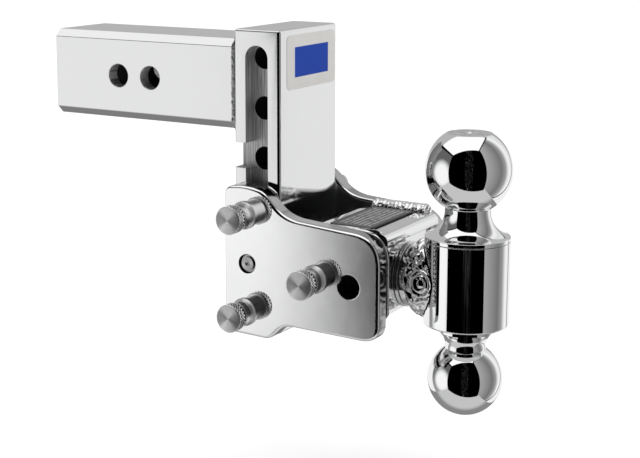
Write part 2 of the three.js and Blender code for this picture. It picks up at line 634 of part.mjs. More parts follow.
for (const [name, x, z] of [
  ['top_pin', HEIGHT_PIN_X, TOP_PIN_Z],
  ['bottom_pin', HEIGHT_PIN_X, BOTTOM_PIN_Z],
  ['swivel_pin', PARK_PIN_X, PARK_PIN_Z],
]) {
  piece(hitch, `${name}_shaft`, pinShaft(x, z), STEEL);
  piece(hitch, `${name}_knob`, pinKnob(x, z), KNOB_STEEL);
  piece(hitch, `${name}_collar`, pinCollar(x, z), KNOB_STEEL);
  piece(hitch, `${name}_ring`, pinRing(x, z), RUBBER);
}

export default hitch;
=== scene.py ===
"""Looks of the drop hitch with two towing balls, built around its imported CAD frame.

Shapes are worked out in millimetres and written to Blender in metres. Places come from the
CAD nodes' boxes, and the named values below repeat the design's own details.
"""

import math
from functools import partialmethod

import bmesh
import bpy
from mathutils import Matrix, Vector, noise


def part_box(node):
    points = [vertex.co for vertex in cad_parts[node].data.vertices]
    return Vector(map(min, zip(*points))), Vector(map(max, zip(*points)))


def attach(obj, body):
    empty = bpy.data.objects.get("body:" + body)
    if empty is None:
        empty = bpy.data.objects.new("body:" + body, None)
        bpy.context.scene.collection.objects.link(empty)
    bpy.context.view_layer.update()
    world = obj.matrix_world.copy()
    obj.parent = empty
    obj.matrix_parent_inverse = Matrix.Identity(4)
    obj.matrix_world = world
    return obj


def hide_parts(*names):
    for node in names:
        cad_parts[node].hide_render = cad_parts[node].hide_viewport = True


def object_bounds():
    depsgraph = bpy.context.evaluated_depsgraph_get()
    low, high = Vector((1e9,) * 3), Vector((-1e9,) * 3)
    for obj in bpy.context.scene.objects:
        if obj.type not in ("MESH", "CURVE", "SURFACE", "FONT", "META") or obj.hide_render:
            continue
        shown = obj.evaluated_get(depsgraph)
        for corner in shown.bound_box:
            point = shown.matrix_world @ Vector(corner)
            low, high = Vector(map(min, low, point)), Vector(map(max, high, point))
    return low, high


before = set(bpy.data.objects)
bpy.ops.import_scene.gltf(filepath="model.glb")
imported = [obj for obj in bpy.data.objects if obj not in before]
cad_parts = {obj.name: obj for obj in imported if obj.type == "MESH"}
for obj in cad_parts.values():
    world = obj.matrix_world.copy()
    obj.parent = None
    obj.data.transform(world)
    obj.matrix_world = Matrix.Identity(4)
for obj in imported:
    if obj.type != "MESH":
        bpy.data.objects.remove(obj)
cad_box = [list(corner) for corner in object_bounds()]

MM = 0.001
TAU = 2 * math.pi

# ---- places from the frame


def span(node):
    """Lowest and highest corners of a CAD node, in millimetres."""
    low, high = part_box(node)
    return low / MM, high / MM


SHANK_LOW, SHANK_HIGH = span("shank_tube")
UPRIGHT_LOW, UPRIGHT_HIGH = span("upright")
BADGE_LOW, BADGE_HIGH = span("badge_plate")
PLATE_LOW, PLATE_HIGH = span("side_plate_far")
BLOCK_LOW, BLOCK_HIGH = span("swivel_block")
RATING_LOW, RATING_HIGH = span("rating_plate")
BUSH_LOW, BUSH_HIGH = span("swivel_bush")
WASHER_LOW, WASHER_HIGH = span("thrust_washer")
SCREW_LOW, SCREW_HIGH = span("retaining_screw")
STUB_LOW, STUB_HIGH = span("swivel_stub")
BARREL_LOW, BARREL_HIGH = span("ball_barrel")
UPPER_LOW, UPPER_HIGH = span("upper_ball")
LOWER_LOW, LOWER_HIGH = span("lower_ball")
KEY_LOW, KEY_HIGH = span("guide_key_far")
SHANK_WELD_LOW, SHANK_WELD_HIGH = span("shank_weld")
TOP_WELD_CORNER_Y = span("block_weld_top_far")[1].y
REAR_WELD_LOW, REAR_WELD_HIGH = span("block_weld_rear_far")
STUB_WELD_LOW, STUB_WELD_HIGH = span("stub_weld")

PIN_NAMES = ("top_pin", "bottom_pin", "swivel_pin")
PIN_SPANS = {pin: span(pin + "_shaft") for pin in PIN_NAMES}
PIN_X = {pin: (low.x + high.x) / 2 for pin, (low, high) in PIN_SPANS.items()}
PIN_Z = {pin: (low.z + high.z) / 2 for pin, (low, high) in PIN_SPANS.items()}
PIN_R = (PIN_SPANS["top_pin"][1].x - PIN_SPANS["top_pin"][0].x) / 2

GAP = 0.3  # clearance between pieces that touch
BORE_R = PIN_R + GAP
SHANK_HALF = SHANK_HIGH.z
UPRIGHT_HALF = UPRIGHT_HIGH.y
PLATE_INNER_Y, PLATE_OUTER_Y = PLATE_LOW.y, PLATE_HIGH.y
SLOT_X = (UPRIGHT_LOW.x + UPRIGHT_HIGH.x) / 2
SWIVEL_Z = (STUB_LOW.z + STUB_HIGH.z) / 2
BALL_X = (BARREL_LOW.x + BARREL_HIGH.x) / 2
BARREL_R = (BARREL_HIGH.x - BARREL_LOW.x) / 2
UPPER_R = (UPPER_HIGH.x - UPPER_LOW.x) / 2
LOWER_R = (LOWER_HIGH.x - LOWER_LOW.x) / 2
SHOULDER_R = (STUB_HIGH.z - STUB_LOW.z) / 2
BUSH_R = (BUSH_HIGH.z - BUSH_LOW.z) / 2
WASHER_R = (WASHER_HIGH.z - WASHER_LOW.z) / 2
KEY_Z = (KEY_LOW.z + KEY_HIGH.z) / 2

# ---- details of the design

SHANK_WALL = 9.5
SHANK_CHAMFER = 5.5
RECEIVER_PIN_HOLE_R = 8.4
RECEIVER_PIN_PITCH = 28.5
SLOT_WIDTH = 17.4
SLOT_DEPTH = 10.7
SLOT_BOTTOM_Z = -156
ROW_TOP_Z = 20
ROW_PITCH = 35.2
ROW_COUNT = 5
ROW_HOLE_R = 8.2
KEY_WAY_TOP_Z = -39
KEY_WAY_HEIGHT = 17.5
LOCK_HOLE_X = 203.9
LOCK_HOLE_R = 8.35
KEY_SHANK_R = 6.35
KEY_FACE_R = 4.9
BLOCK_NOSE_R = 5.5
BLOCK_REAR_X = BUSH_HIGH.x
BLOCK_LIP_DEPTH = 8
STUB_R = 15
GROOVE_DEPTH = 4
GROOVE_HALF_WIDTH = 4.5
STUB_CRATER = (-24, -27, 1)  # where the heavy bead was finished, from the barrel's middle at the stub
CRATER_R = 11
CRATER_RINGS = 3
SCREW_X = (SCREW_LOW.x + SCREW_HIGH.x) / 2
SCREW_R = 5
UPPER_NECK_R = 15.5
UPPER_FLAT_R = 15.15
UPPER_FLARE_R = 17.3
UPPER_FLARE_Z = -77.3
UPPER_FOOT_EDGE = 0.8
LOWER_NECK_R = 13.8
LOWER_FOOT_R = 19.8
LOWER_FLARE_R = 12
LOWER_FLARE_Z = -169.6
LOWER_FLAT_R = 6
BALL_STEM_R = 12.7
KNOB_END_R = 8.6
KNURL_R = 9.5
KNOB_NECK_R = 8.2
KNURL_DEPTH = 1.1
KNURL_TEETH = 26
KNOB_FACE_R = 8.8
KNOB_HEAD_END = 7  # this and the four below are measured from the knob's face
KNOB_BODY = (7.6, 18)
KNOB_GROOVES = (9.2, 15.2)
KNOB_RING = (19, 22)
KNOB_NECK_START = 23
KNOB_GROOVE_DEPTH = 0.35
KNURL_MARGIN = 0.7
KNURL_FADE = 0.5  # length over which the teeth rise from nothing
KNURL_STEEPNESS = 1.7
KNURL_SEGMENTS = 8 * KNURL_TEETH
PIN_GROOVE_R = 4.3
CLIP_HOLE_OUT = 5  # middle of the hole beyond the far plate
CLIP_HOLE_R = 1.6

BALL_SEGMENTS = 160
ROUND_SEGMENTS = 96
HOLE_SEGMENTS = 64

# ---- outlines


def fillet(points, closed=True, steps=6):
    """Turns corners (u, v, radius) into arcs and keeps corners (u, v) sharp."""
    path = []
    count = len(points)
    for i, point in enumerate(points):
        corner = Vector(point[:2])
        radius = point[2] if len(point) > 2 else 0
        if radius == 0 or (not closed and i in (0, count - 1)):
            path.append(tuple(corner))
            continue
        before = (Vector(points[i - 1][:2]) - corner).normalized()
        after = (Vector(points[(i + 1) % count][:2]) - corner).normalized()
        half = before.angle(after) / 2
        centre = corner + (before + after).normalized() * (radius / math.sin(half))
        start = corner + before * (radius / math.tan(half)) - centre
        end = corner + after * (radius / math.tan(half)) - centre
        turn = start.angle_signed(end)
        for k in range(steps + 1):
            path.append(tuple(centre + Matrix.Rotation(-turn * k / steps, 2) @ start))
    return path


def bezier(*controls, steps=10):
    """Points on a Bezier curve of any degree, without its first point."""
    path = []
    for k in range(1, steps + 1):
        layer = [Vector(point) for point in controls]
        while len(layer) > 1:
            layer = [a.lerp(b, k / steps) for a, b in zip(layer, layer[1:])]
        path.append(tuple(layer[0]))
    return path


def arc(u, v, radius, start, end, steps):
    """Points on an arc round (u, v), angles in degrees."""
    angles = [math.radians(start + (end - start) * k / steps) for k in range(steps + 1)]
    return [(u + radius * math.cos(a), v + radius * math.sin(a)) for a in angles]


def latitude(reach, radius):
    """Angle in degrees above a circle's middle at which it is `reach` from the axis."""
    return math.degrees(math.acos(reach / radius))


def rectangle(u0, u1, v0, v1, radius=0, steps=6):
    return fillet([(u0, v0, radius), (u1, v0, radius), (u1, v1, radius), (u0, v1, radius)], steps=steps)


# ---- solids in millimetres


def place(axis, along, u, v):
    """A point of an outline (u, v) swept to `along` on an axis."""
    return {"X": (along, u, v), "Y": (u, along, v), "Z": (u, v, along)}[axis]


def object_from(bm, name):
    bmesh.ops.remove_doubles(bm, verts=bm.verts, dist=1e-4)
    bmesh.ops.recalc_face_normals(bm, faces=bm.faces)
    mesh = bpy.data.meshes.new(name)
    bm.to_mesh(mesh)
    bm.free()
    piece = bpy.data.objects.new(name, mesh)
    bpy.context.scene.collection.objects.link(piece)
    return piece


def bridge(bm, pairs):
    """Faces between the rings of each pair, which may share points."""
    for low, high in pairs:
        for k in range(len(low)):
            j = (k + 1) % len(low)
            corners = dict.fromkeys((low[k], low[j], high[j], high[k]))
            if len(corners) > 2:
                bm.faces.new(corners)


def prism(name, outline, axis, start, end):
    """Closed solid: an outline swept along an axis."""
    bm = bmesh.new()
    rings = [[bm.verts.new(place(axis, along, u, v)) for u, v in outline] for along in (start, end)]
    bridge(bm, [rings])
    bm.faces.new(rings[0])
    bm.faces.new(rings[1])
    return object_from(bm, name)


def lathe(name, profile, axis, segments=ROUND_SEGMENTS, shape=None):
    """Closed solid of revolution about an axis through the origin.

    The profile's (radius, height) points start and end on the axis or close on themselves.
    shape(radius, height, angle) may give a point its own radius.
    """
    bm = bmesh.new()
    rows = []
    for radius, height in profile:
        if radius < 1e-6:
            rows.append([bm.verts.new(place(axis, height, 0, 0))] * segments)
            continue
        row = []
        for k in range(segments):
            angle = TAU * k / segments
            reach = shape(radius, height, angle) if shape else radius
            row.append(bm.verts.new(place(axis, height, reach * math.cos(angle), reach * math.sin(angle))))
        rows.append(row)
    pairs = list(zip(rows, rows[1:]))
    if profile[0][0] > 1e-6:
        pairs.append((rows[-1], rows[0]))
    bridge(bm, pairs)
    return object_from(bm, name)


def bar(axis, u, v, radius, start, end, segments=HOLE_SEGMENTS):
    """Round cutting tool along an axis through (u, v)."""
    circle = [(u + radius * math.cos(TAU * k / segments), v + radius * math.sin(TAU * k / segments))
              for k in range(segments)]
    return prism("tool", circle, axis, start, end)


def cross_bar(x, z, radius, reach):
    """Round cutting tool from side to side, `reach` to either side of the middle."""
    return bar("Y", x, z, radius, -reach, reach)


def bake(piece):
    """Replaces the piece's mesh by its modified one."""
    depsgraph = bpy.context.evaluated_depsgraph_get()
    mesh = bpy.data.meshes.new_from_object(piece.evaluated_get(depsgraph))
    piece.modifiers.clear()
    piece.data = mesh


def cut(piece, tools, cut_face_material=None):
    """Cuts the tools out. The faces they leave take the given material, if any, which for the shank's hollow
    and the bores is a near-black painted shade, and for slots and the receiver pin holes a machined finish.
    """
    if cut_face_material and not piece.data.materials:
        piece.data.materials.append(None)
    for tool in tools:
        if cut_face_material:
            tool.data.materials.append(cut_face_material)
        modifier = piece.modifiers.new("cut", "BOOLEAN")
        modifier.operation = "DIFFERENCE"
        modifier.solver = "EXACT"
        modifier.object = tool
        modifier.material_mode = "TRANSFER" if cut_face_material else "INDEX"
    bake(piece)
    for tool in tools:
        bpy.data.objects.remove(tool)
    return piece


def round_edges(piece, width, segments=4):
    modifier = piece.modifiers.new("round", "BEVEL")
    modifier.width = width
    modifier.segments = segments
    modifier.limit_method = "ANGLE"
    modifier.angle_limit = math.radians(32)
    modifier.use_clamp_overlap = False
    bake(piece)
    return piece


def finish_piece(piece, body, nodes, material, origin=(0, 0, 0), crease=40):
    """Metres, smooth shading with creases, finish, and the CAD nodes it stands for."""
    mesh = piece.data
    mesh.transform(Matrix.Scale(MM, 4))
    piece.location = Vector(origin) * MM
    bm = bmesh.new()
    bm.from_mesh(mesh)
    for face in bm.faces:
        face.smooth = True
    for edge in bm.edges:
        edge.smooth = len(edge.link_faces) == 2 and edge.calc_face_angle() < math.radians(crease)
    bm.to_mesh(mesh)
    bm.free()
    normals = piece.modifiers.new("flat_faces", "WEIGHTED_NORMAL")
    normals.keep_sharp = True
    if mesh.materials:
        mesh.materials[0] = material
    else:
        mesh.materials.append(material)
    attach(piece, body)
    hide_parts(*nodes)
    return piece


# ---- weld beads


def scallop(turns, power):
    """Profile of stacked weld ripples: narrow valleys at a low power, soft waves at 2."""
    return abs(math.sin(math.pi * turns)) ** power


def weld_bead(name, stations, closed, pitch, depth, fullness=0.45, steps=14, crater=None,
              power=0.6, lumps=0.8):
    """Bead in a corner. A station is (corner point, first leg, second leg), the legs being vectors.

    fullness 0 joins the legs' ends straight, and 1 swells the bead to a quarter circle. Round a
    crater, where the welding stopped, the ripples are rings.
    """
    bm = bmesh.new()
    rings = []
    travelled = 0
    for i, (corner, first, second) in enumerate(stations):
        if i:
            travelled += (corner - stations[i - 1][0]).length
        ring = [bm.verts.new(corner)]
        for k in range(steps + 1):
            t = k / steps
            a, b = math.cos(t * math.pi / 2), math.sin(t * math.pi / 2)
            swell = (a + b) ** (fullness - 1)
            bow = 0.9 * (t - 0.5) ** 2
            point = corner + (first * a + second * b) * swell
            rough = noise.noise(point * 0.22) * 0.5
            turns = travelled / pitch + bow * pitch * 0.4 + rough * 0.35
            if crater and (point - crater).length < CRATER_R:
                turns = (point - crater).length / CRATER_R * CRATER_RINGS + rough * 0.2
            ripple = depth * (scallop(turns, power) - 1)
            lump = depth * lumps * noise.noise(point * 0.4 + Vector((5, 3, 1)))
            edge = math.sin(math.pi * min(max(t, 0.04), 0.96)) ** 0.5
            outward = (point - corner).normalized()
            ring.append(bm.verts.new(point + outward * (ripple + lump) * edge))
        rings.append(ring)
    pairs = list(zip(rings, rings[1:]))
    if closed:
        pairs.append((rings[-1], rings[0]))
    bridge(bm, pairs)
    if not closed:
        bm.faces.new(rings[0])
        bm.faces.new(rings[-1])
    return object_from(bm, name)


# ---- node trees


class Graph:
    """Short way to write a node tree."""

    def __init__(self, tree):
        self.tree = tree
        tree.nodes.clear()

    def node(self, kind, inputs=None, **settings):
        made = self.tree.nodes.new(kind)
        for key, value in settings.items():
            setattr(made, key, value)
        for key, value in (inputs or {}).items():
            self.feed(made.inputs[key], value)
        return made

    def feed(self, socket, value):
        if isinstance(value, bpy.types.NodeSocket):
            self.tree.links.new(value, socket)
        else:
            socket.default_value = value

    def math(self, operation, a, b=0.0, c=0.0):
        return self.node("ShaderNodeMath", {0: a, 1: b, 2: c}, operation=operation).outputs[0]

    plus = partialmethod(math, "ADD")
    minus = partialmethod(math, "SUBTRACT")
    times = partialmethod(math, "MULTIPLY")
    over = partialmethod(math, "DIVIDE")
    size = partialmethod(math, "ABSOLUTE")
    larger = partialmethod(math, "MAXIMUM")

    def dot(self, vector, axis):
        made = self.node("ShaderNodeVectorMath", {0: vector, 1: axis}, operation="DOT_PRODUCT")
        return made.outputs["Value"]

    def ramp(self, factor, stops):
        """Grey ramp from (position, value) stops."""
        made = self.node("ShaderNodeValToRGB", {"Fac": factor})
        elements = made.color_ramp.elements
        elements.remove(elements[1])
        elements[0].position = stops[0][0]
        elements[0].color = grey(stops[0][1])
        for position, value in stops[1:]:
            elements.new(position).color = grey(value)
        return made.outputs["Color"]

    def step(self, value, low, high):
        """0 below low, 1 above high, smooth between."""
        made = self.node("ShaderNodeMapRange", {"Value": value, "From Min": low, "From Max": high},
                         interpolation_type="SMOOTHSTEP")
        return made.outputs["Result"]

    def mix(self, factor, a, b):
        made = self.node("ShaderNodeMix", data_type="RGBA")
        self.feed(made.inputs[0], factor)
        self.feed(made.inputs[6], a)
        self.feed(made.inputs[7], b)
        return made.outputs[2]

    def greys(self, factor, low, high):
        """Grey from low to high as the factor goes from 0 to 1."""
        return self.mix(factor, grey(low), grey(high))

    def parts(self, vector):
        return self.node("ShaderNodeSeparateXYZ", {"Vector": vector}).outputs

    def vector(self, x, y, z=0.0):
        return self.node("ShaderNodeCombineXYZ", {"X": x, "Y": y, "Z": z}).outputs[0]

    def noise(self, vector, scale, detail=3.0, roughness=0.55):
        made = self.node("ShaderNodeTexNoise", {"Vector": vector, "Scale": scale, "Detail": detail,
                                                "Roughness": roughness})
        return made.outputs["Fac"]

    def stretched(self, vector, scale):
        made = self.node("ShaderNodeMapping", {"Vector": vector, "Scale": scale})
        return made.outputs["Vector"]

    def bump(self, height, distance, strength=1.0, normal=None):
        made = self.node("ShaderNodeBump", {"Height": height, "Distance": distance, "Strength": strength})
        if normal:
            self.feed(made.inputs["Normal"], normal)
        return made.outputs["Normal"]


def grey(value):
    return (value, value, value, 1)


def new_material(name):
    """Empty node tree, and the piece's own coordinates in metres."""
    material = bpy.data.materials.new(name)
    material.use_nodes = True
    graph = Graph(material.node_tree)
    coords = graph.node("ShaderNodeTexCoord").outputs["Object"]
    return material, graph, coords


def output(graph, colour, roughness, normal=None, **others):
    """Principled surface, wired to the material's output."""
    inputs = {"Base Color": colour, "Roughness": roughness, **others}
    if normal:
        inputs["Normal"] = normal
    surface = graph.node("ShaderNodeBsdfPrincipled", inputs)
    graph.node("ShaderNodeOutputMaterial", {"Surface": surface.outputs["BSDF"]})


def chrome(name, tint, roughness, wave=0.00002, grain=(30, 30, 900)):
    """Polished plate: soft waviness, a fine directional polish and small changes of gloss."""
    material, graph, coords = new_material(name)
    waves = graph.noise(coords, 45, 2)
    polish = graph.noise(graph.stretched(coords, grain), 1.6, 2)
    smudge = graph.noise(coords, 14, 5, 0.6)
    normal = graph.bump(waves, wave)
    normal = graph.bump(polish, 0.0000012, 1.0, normal)
    gloss = graph.math("MULTIPLY_ADD", smudge, roughness * 0.9, roughness * 0.55)
    streak = graph.math("MULTIPLY_ADD", polish, 0.05, 0.95)
    colour = graph.mix(streak, grey(tint * 0.78), (tint, tint * 1.002, tint * 1.008, 1))
    output(graph, colour, gloss, normal, Metallic=1.0)
    return material


def turned_steel(name, axis, tint, roughness, lines=2600, anisotropy=0.7, painted_sheen_side_tone=1.0):
    """Turned metal: rings round the piece's own axis, with a painted bow-tie sheen that darkens it towards
    its sides.
    """
    material, graph, coords = new_material(name)
    parts = graph.parts(coords)
    across = [parts[i] for i in range(3) if "XYZ"[i] != axis]
    squares = [graph.times(part, part) for part in across]
    square_sum = graph.plus(*squares)
    rings = graph.vector(graph.math("SQRT", square_sum), parts["XYZ".index(axis)])
    lathe_marks = graph.noise(rings, lines, 2, 0.7)
    speckle = graph.noise(coords, 900, 3)
    normal = graph.bump(lathe_marks, 0.00001, 0.55)
    shade = graph.greys(speckle, tint * 0.8, tint)
    shade = graph.mix(graph.step(lathe_marks, 0.3, 0.7), graph.mix(0.5, shade, grey(tint * 0.7)), shade)
    # painted sheen: a bow-tie highlight, brighter above and below the middle, darker to either side
    if painted_sheen_side_tone < 1:
        upright_share = graph.over(squares[1], square_sum)
        painted_sheen_sides = graph.mix(painted_sheen_side_tone, grey(0), shade)
        shade = graph.mix(graph.step(upright_share, 0.1, 0.85), painted_sheen_sides, shade)
    tangent = graph.node("ShaderNodeTangent", direction_type="RADIAL", axis=axis).outputs[0]
    output(graph, shade, roughness, normal, Metallic=1.0, Anisotropic=anisotropy, Tangent=tangent)
    return material


def weld_finish(name, tint, rough, pitting):
    """Plated weld: fine slag texture over the modelled ripples, darker in its pits."""
    material, graph, coords = new_material(name)
    pits = graph.noise(coords, 300, 2, 0.5)
    fine = graph.noise(coords, 1500, 2)
    normal = graph.bump(pits, pitting, 0.5)
    normal = graph.bump(fine, 0.000004, 0.5, normal)
    colour = graph.greys(graph.step(pits, 0.3, 0.55), tint * 0.7, tint)
    output(graph, colour, graph.times(pits, rough * 2), normal, Metallic=1.0)
    return material


def stained(name, stain, grain, dark, light, roughness, strength=0.5, **others):
    """Stains and a fine grain, each given by the scale and the detail of its noise."""
    material, graph, coords = new_material(name)
    colour = graph.mix(graph.noise(coords, *stain), dark, light)
    normal = graph.bump(graph.noise(coords, *grain), 0.00002, strength)
    output(graph, colour, roughness, normal, **others)
    return material


def machined(name, axis_scale):
    """Milled steel under thin plate: satin, streaked along the cut."""
    material, graph, coords = new_material(name)
    streaks = graph.noise(graph.stretched(coords, axis_scale), 1.5, 3, 0.65)
    fine = graph.noise(coords, 1500, 2)
    colour = graph.greys(graph.step(streaks, 0.3, 0.7), 0.3, 0.8)
    output(graph, colour, 0.42, graph.bump(fine, 0.00001, 0.5), Metallic=0.55)
    return material


# ---- camera, room and floor

CAMERA_AZIMUTH = math.radians(30.458)
CAMERA_DOWN = math.radians(9.397)
CAMERA_ROLL = math.radians(-0.067)
CAMERA_PLACE = (0.64019, -0.84935, 0.12398)
CAMERA_LENS = 79.635
CAMERA_SHIFT = (0.0210, -0.1418)


def make_camera():
    data = bpy.data.cameras.new("camera")
    data.lens = CAMERA_LENS
    data.sensor_width = 36
    data.shift_x, data.shift_y = CAMERA_SHIFT
    data.clip_start, data.clip_end = 0.01, 50
    camera = bpy.data.objects.new("camera", data)
    camera.location = CAMERA_PLACE
    camera.rotation_euler = (math.pi / 2 - CAMERA_DOWN, CAMERA_ROLL, CAMERA_AZIMUTH)
    bpy.context.scene.collection.objects.link(camera)
    bpy.context.scene.camera = camera


# The studio: a black opening faces the camera's side, between soft walls, a roof and a pale ground.
# Tones run from 0 for black to just over 1 for the lamp, and a pair is (far or low, near or high).
ROOM_AZIMUTH = math.radians(23.8)
ROOM_TILT = math.radians(10.6)
OPENING_EDGES = [((1, -0.17), 1.38), ((-1, -0.165), 1.066), ((0.208, -1), 1.32), ((0.229, 1), 1.469)]
LEFT_ROOF_SLOPE, RIGHT_ROOF_SLOPE = 0.85, 2.0
LEFT_GROUND_SLOPE, RIGHT_GROUND_SLOPE = 0.62, 1.155
LAMP = (-0.958, -0.156, 0.239)
LEFT_END = -118  # where the left wall ends, in degrees from straight ahead
BACK_TONES = (0.95, 0.5)
LEFT_TONES = (0.36, 0.13)
ROOF_TONES = (0.5, 1.12)
GROUND_TONES = (0.26, 0.6)
OPENING_TONES = (0.0, 0.16)
LAMP_TONE = 1.02
SEAM_TONE = 0.03
DARK_BACK_TONE = 0.05
EDGE = 0.012  # softness of the edge between two of the studio's parts
RIGHT_END = (0.731, 0.423, 0.534)
RIGHT_WALL = [(40, 0.42), (48, 0.4), (70, 0.3), (93, 0.19), (110, 0.36), (121, 0.85), (127, 1.0),
              (140, 0.8)]  # (degrees from straight ahead, tone)


def make_room():
    """World light by direction only, so that every view has the same studio round it."""
    world = bpy.data.worlds.new("studio")
    bpy.context.scene.world = world
    world.use_nodes = True
    graph = Graph(world.node_tree)
    direction = graph.node("ShaderNodeTexCoord").outputs["Generated"]
    sin_a, cos_a = math.sin(ROOM_AZIMUTH), math.cos(ROOM_AZIMUTH)
    sin_e, cos_e = math.sin(ROOM_TILT), math.cos(ROOM_TILT)
    x = graph.dot(direction, (cos_a, sin_a, 0))
    y = graph.dot(direction, (-sin_a * sin_e, cos_a * sin_e, cos_e))
    z = graph.dot(direction, (sin_a * cos_e, -cos_a * cos_e, sin_e))
    place = graph.vector(x, y, z)
    degrees = graph.times(graph.math("ARCTAN2", x, z), 360 / TAU)
    level = graph.math("SQRT", graph.minus(1.0001, graph.times(y, y)))
    rise = graph.over(y, level)

    def seam(value, half):
        """1 along a thin line where value is 0."""
        return graph.minus(1.0, graph.step(graph.size(value), half * 0.6, half))

    # back of the studio: white at eye level, greyer above
    back = graph.greys(graph.step(rise, 0.1, 0.27), *BACK_TONES)

    # right wall, with a bright band where it turns away
    turn = graph.math("MULTIPLY_ADD", degrees, 1 / 360, 0.5)
    right = graph.ramp(turn, [(0.5 + angle / 360, value) for angle, value in RIGHT_WALL])
    rightward = graph.step(x, 0, 0.01)
    end = graph.dot(place, RIGHT_END)
    on_right = graph.times(graph.step(end, 0, 0.01), rightward)
    shade = graph.mix(on_right, back, right)
    shade = graph.mix(graph.times(seam(end, 0.03), rightward), shade, grey(SEAM_TONE))

    # left wall, lit by a soft round lamp and darker towards the roof
    base = graph.greys(graph.step(rise, -0.6, 0.45), *LEFT_TONES)
    lamp = graph.step(graph.dot(place, LAMP), 0.84, 0.965)
    left = graph.mix(lamp, base, grey(LAMP_TONE))
    past_end = graph.step(degrees, LEFT_END - 2, LEFT_END + 2)
    on_left = graph.times(past_end, graph.step(graph.times(x, -1.0), 0, 0.01))
    shade = graph.mix(on_left, shade, left)

    # roof over the front, ground under it, with black gaps beside the roof
    slope = graph.larger(graph.times(x, -LEFT_ROOF_SLOPE), graph.times(x, RIGHT_ROOF_SLOPE))
    above = graph.minus(y, slope)
    high = graph.step(graph.minus(rise, 0.5), 0, 0.05)
    behind = graph.step(graph.minus(-0.2, z), 0, 0.05)
    leftward = graph.step(graph.minus(-0.3, x), 0, 0.08)
    dark_back = graph.times(graph.times(high, behind), leftward)
    shade = graph.mix(dark_back, shade, grey(DARK_BACK_TONE))
    roof = graph.greys(graph.step(graph.plus(z, 0.34), 0, 0.12), *ROOF_TONES)
    shade = graph.mix(graph.step(above, 0, EDGE), shade, roof)
    gap = graph.times(seam(above, 0.055), graph.step(y, 0.2, 0.3))
    shade = graph.mix(graph.times(gap, graph.step(z, -0.45, -0.3)), shade, grey(0.0))
    under = graph.larger(graph.times(x, -LEFT_GROUND_SLOPE), graph.times(x, RIGHT_GROUND_SLOPE))
    below = graph.minus(graph.times(y, -1.0), under)
    ground = graph.greys(graph.step(z, -0.5, -0.1), *GROUND_TONES)
    shade = graph.mix(graph.step(below, 0, EDGE), shade, ground)

    # black opening, a slanted four-sided hole ahead, with faint shapes in it
    ahead = graph.larger(z, 0.001)
    across = graph.over(x, ahead)
    upward = graph.over(y, ahead)
    inside = graph.step(z, 0.0, 0.01)
    for (a, b), c in OPENING_EDGES:
        edge = graph.plus(graph.times(across, a), graph.times(upward, b))
        inside = graph.times(inside, graph.step(graph.plus(edge, c), 0, 0.03))
    centre = graph.step(graph.minus(0.24, graph.size(across)), 0, 0.1)
    shapes = graph.step(graph.noise(graph.stretched(place, (14, 5, 1)), 2.2, 4, 0.7), 0.52, 0.75)
    dark = graph.greys(graph.times(graph.times(shapes, centre), 0.9), *OPENING_TONES)
    shade = graph.mix(inside, shade, dark)

    # plain white where the camera sees past the hitch
    camera_ray = graph.node("ShaderNodeLightPath").outputs["Is Camera Ray"]
    shade = graph.mix(camera_ray, shade, grey(1.0))
    background = graph.node("ShaderNodeBackground", {"Color": shade, "Strength": 1.0})
    graph.node("ShaderNodeOutputWorld", {"Surface": background.outputs[0]})


FLOOR_DROP = 0.06
FLOOR_HALF = 12.0


def make_floor():
    """Pale floor under the held hitch, left out of the chrome's reflections."""
    z = cad_box[0][2] - FLOOR_DROP
    bm = bmesh.new()
    corners = rectangle(-FLOOR_HALF, FLOOR_HALF, -FLOOR_HALF, FLOOR_HALF)
    bm.faces.new([bm.verts.new((x, y, z)) for x, y in corners])
    floor = object_from(bm, "floor")
    material, graph, coords = new_material("pale_floor")
    faint = graph.noise(coords, 3, 3)
    colour = graph.greys(faint, 0.9, 0.93)
    output(graph, colour, 0.9, **{"Emission Color": grey(1.0), "Emission Strength": 0.6})
    floor.data.materials.append(material)
    floor.visible_glossy = False


# ---- shank and upright


def chamfered_square(half, chamfer, radius=0, steps=4):
    inner = half - chamfer
    corners = [(half, -inner), (half, inner), (inner, half), (-inner, half),
               (-half, inner), (-half, -inner), (-inner, -half), (inner, -half)]
    return fillet([(u, v, radius) for u, v in corners], steps=steps)


def make_shank(material, cut_face_material, milled):
    outline = chamfered_square(SHANK_HALF, SHANK_CHAMFER, 1.2)
    inner = SHANK_HALF - SHANK_WALL
    hollow = prism("tool", rectangle(-inner, inner, -inner, inner, SHANK_CHAMFER / 2),
                   "X", SHANK_LOW.x - 1, SHANK_HIGH.x + 1)
    tube = cut(prism("shank", outline, "X", SHANK_LOW.x, SHANK_HIGH.x), [hollow], cut_face_material)
    holes = [cross_bar(x, 0, RECEIVER_PIN_HOLE_R, 2 * SHANK_HALF) for x in (0, RECEIVER_PIN_PITCH)]
    cut(tube, holes, milled)
    round_edges(tube, 0.6, 3)
    finish_piece(tube, "frame", ["shank_tube"], material)


def make_shank_weld(material):
    """Fillet bead all round the shank where it meets the upright."""
    outline = chamfered_square(SHANK_HALF, SHANK_CHAMFER, 3)
    leg = SHANK_WELD_HIGH.x - SHANK_WELD_LOW.x - 1
    spread = SHANK_WELD_HIGH.z - SHANK_HALF - 0.8
    core = SHANK_HALF - SHANK_CHAMFER
    stations = []
    for i, (y, z) in enumerate(outline):
        next_y, next_z = outline[(i + 1) % len(outline)]
        parts = max(1, round(math.hypot(next_y - y, next_z - z) / 0.5))
        for k in range(parts):
            at = Vector((SHANK_WELD_HIGH.x, y + (next_y - y) * k / parts, z + (next_z - z) * k / parts))
            hub = Vector((at.x, max(-core, min(core, at.y)), max(-core, min(core, at.z))))
            stations.append((at, Vector((-leg, 0, 0)), (at - hub).normalized() * spread))
    bead = weld_bead("shank_weld_bead", stations, True, 3.1, 0.9)
    finish_piece(bead, "frame", ["shank_weld"], material, crease=70)


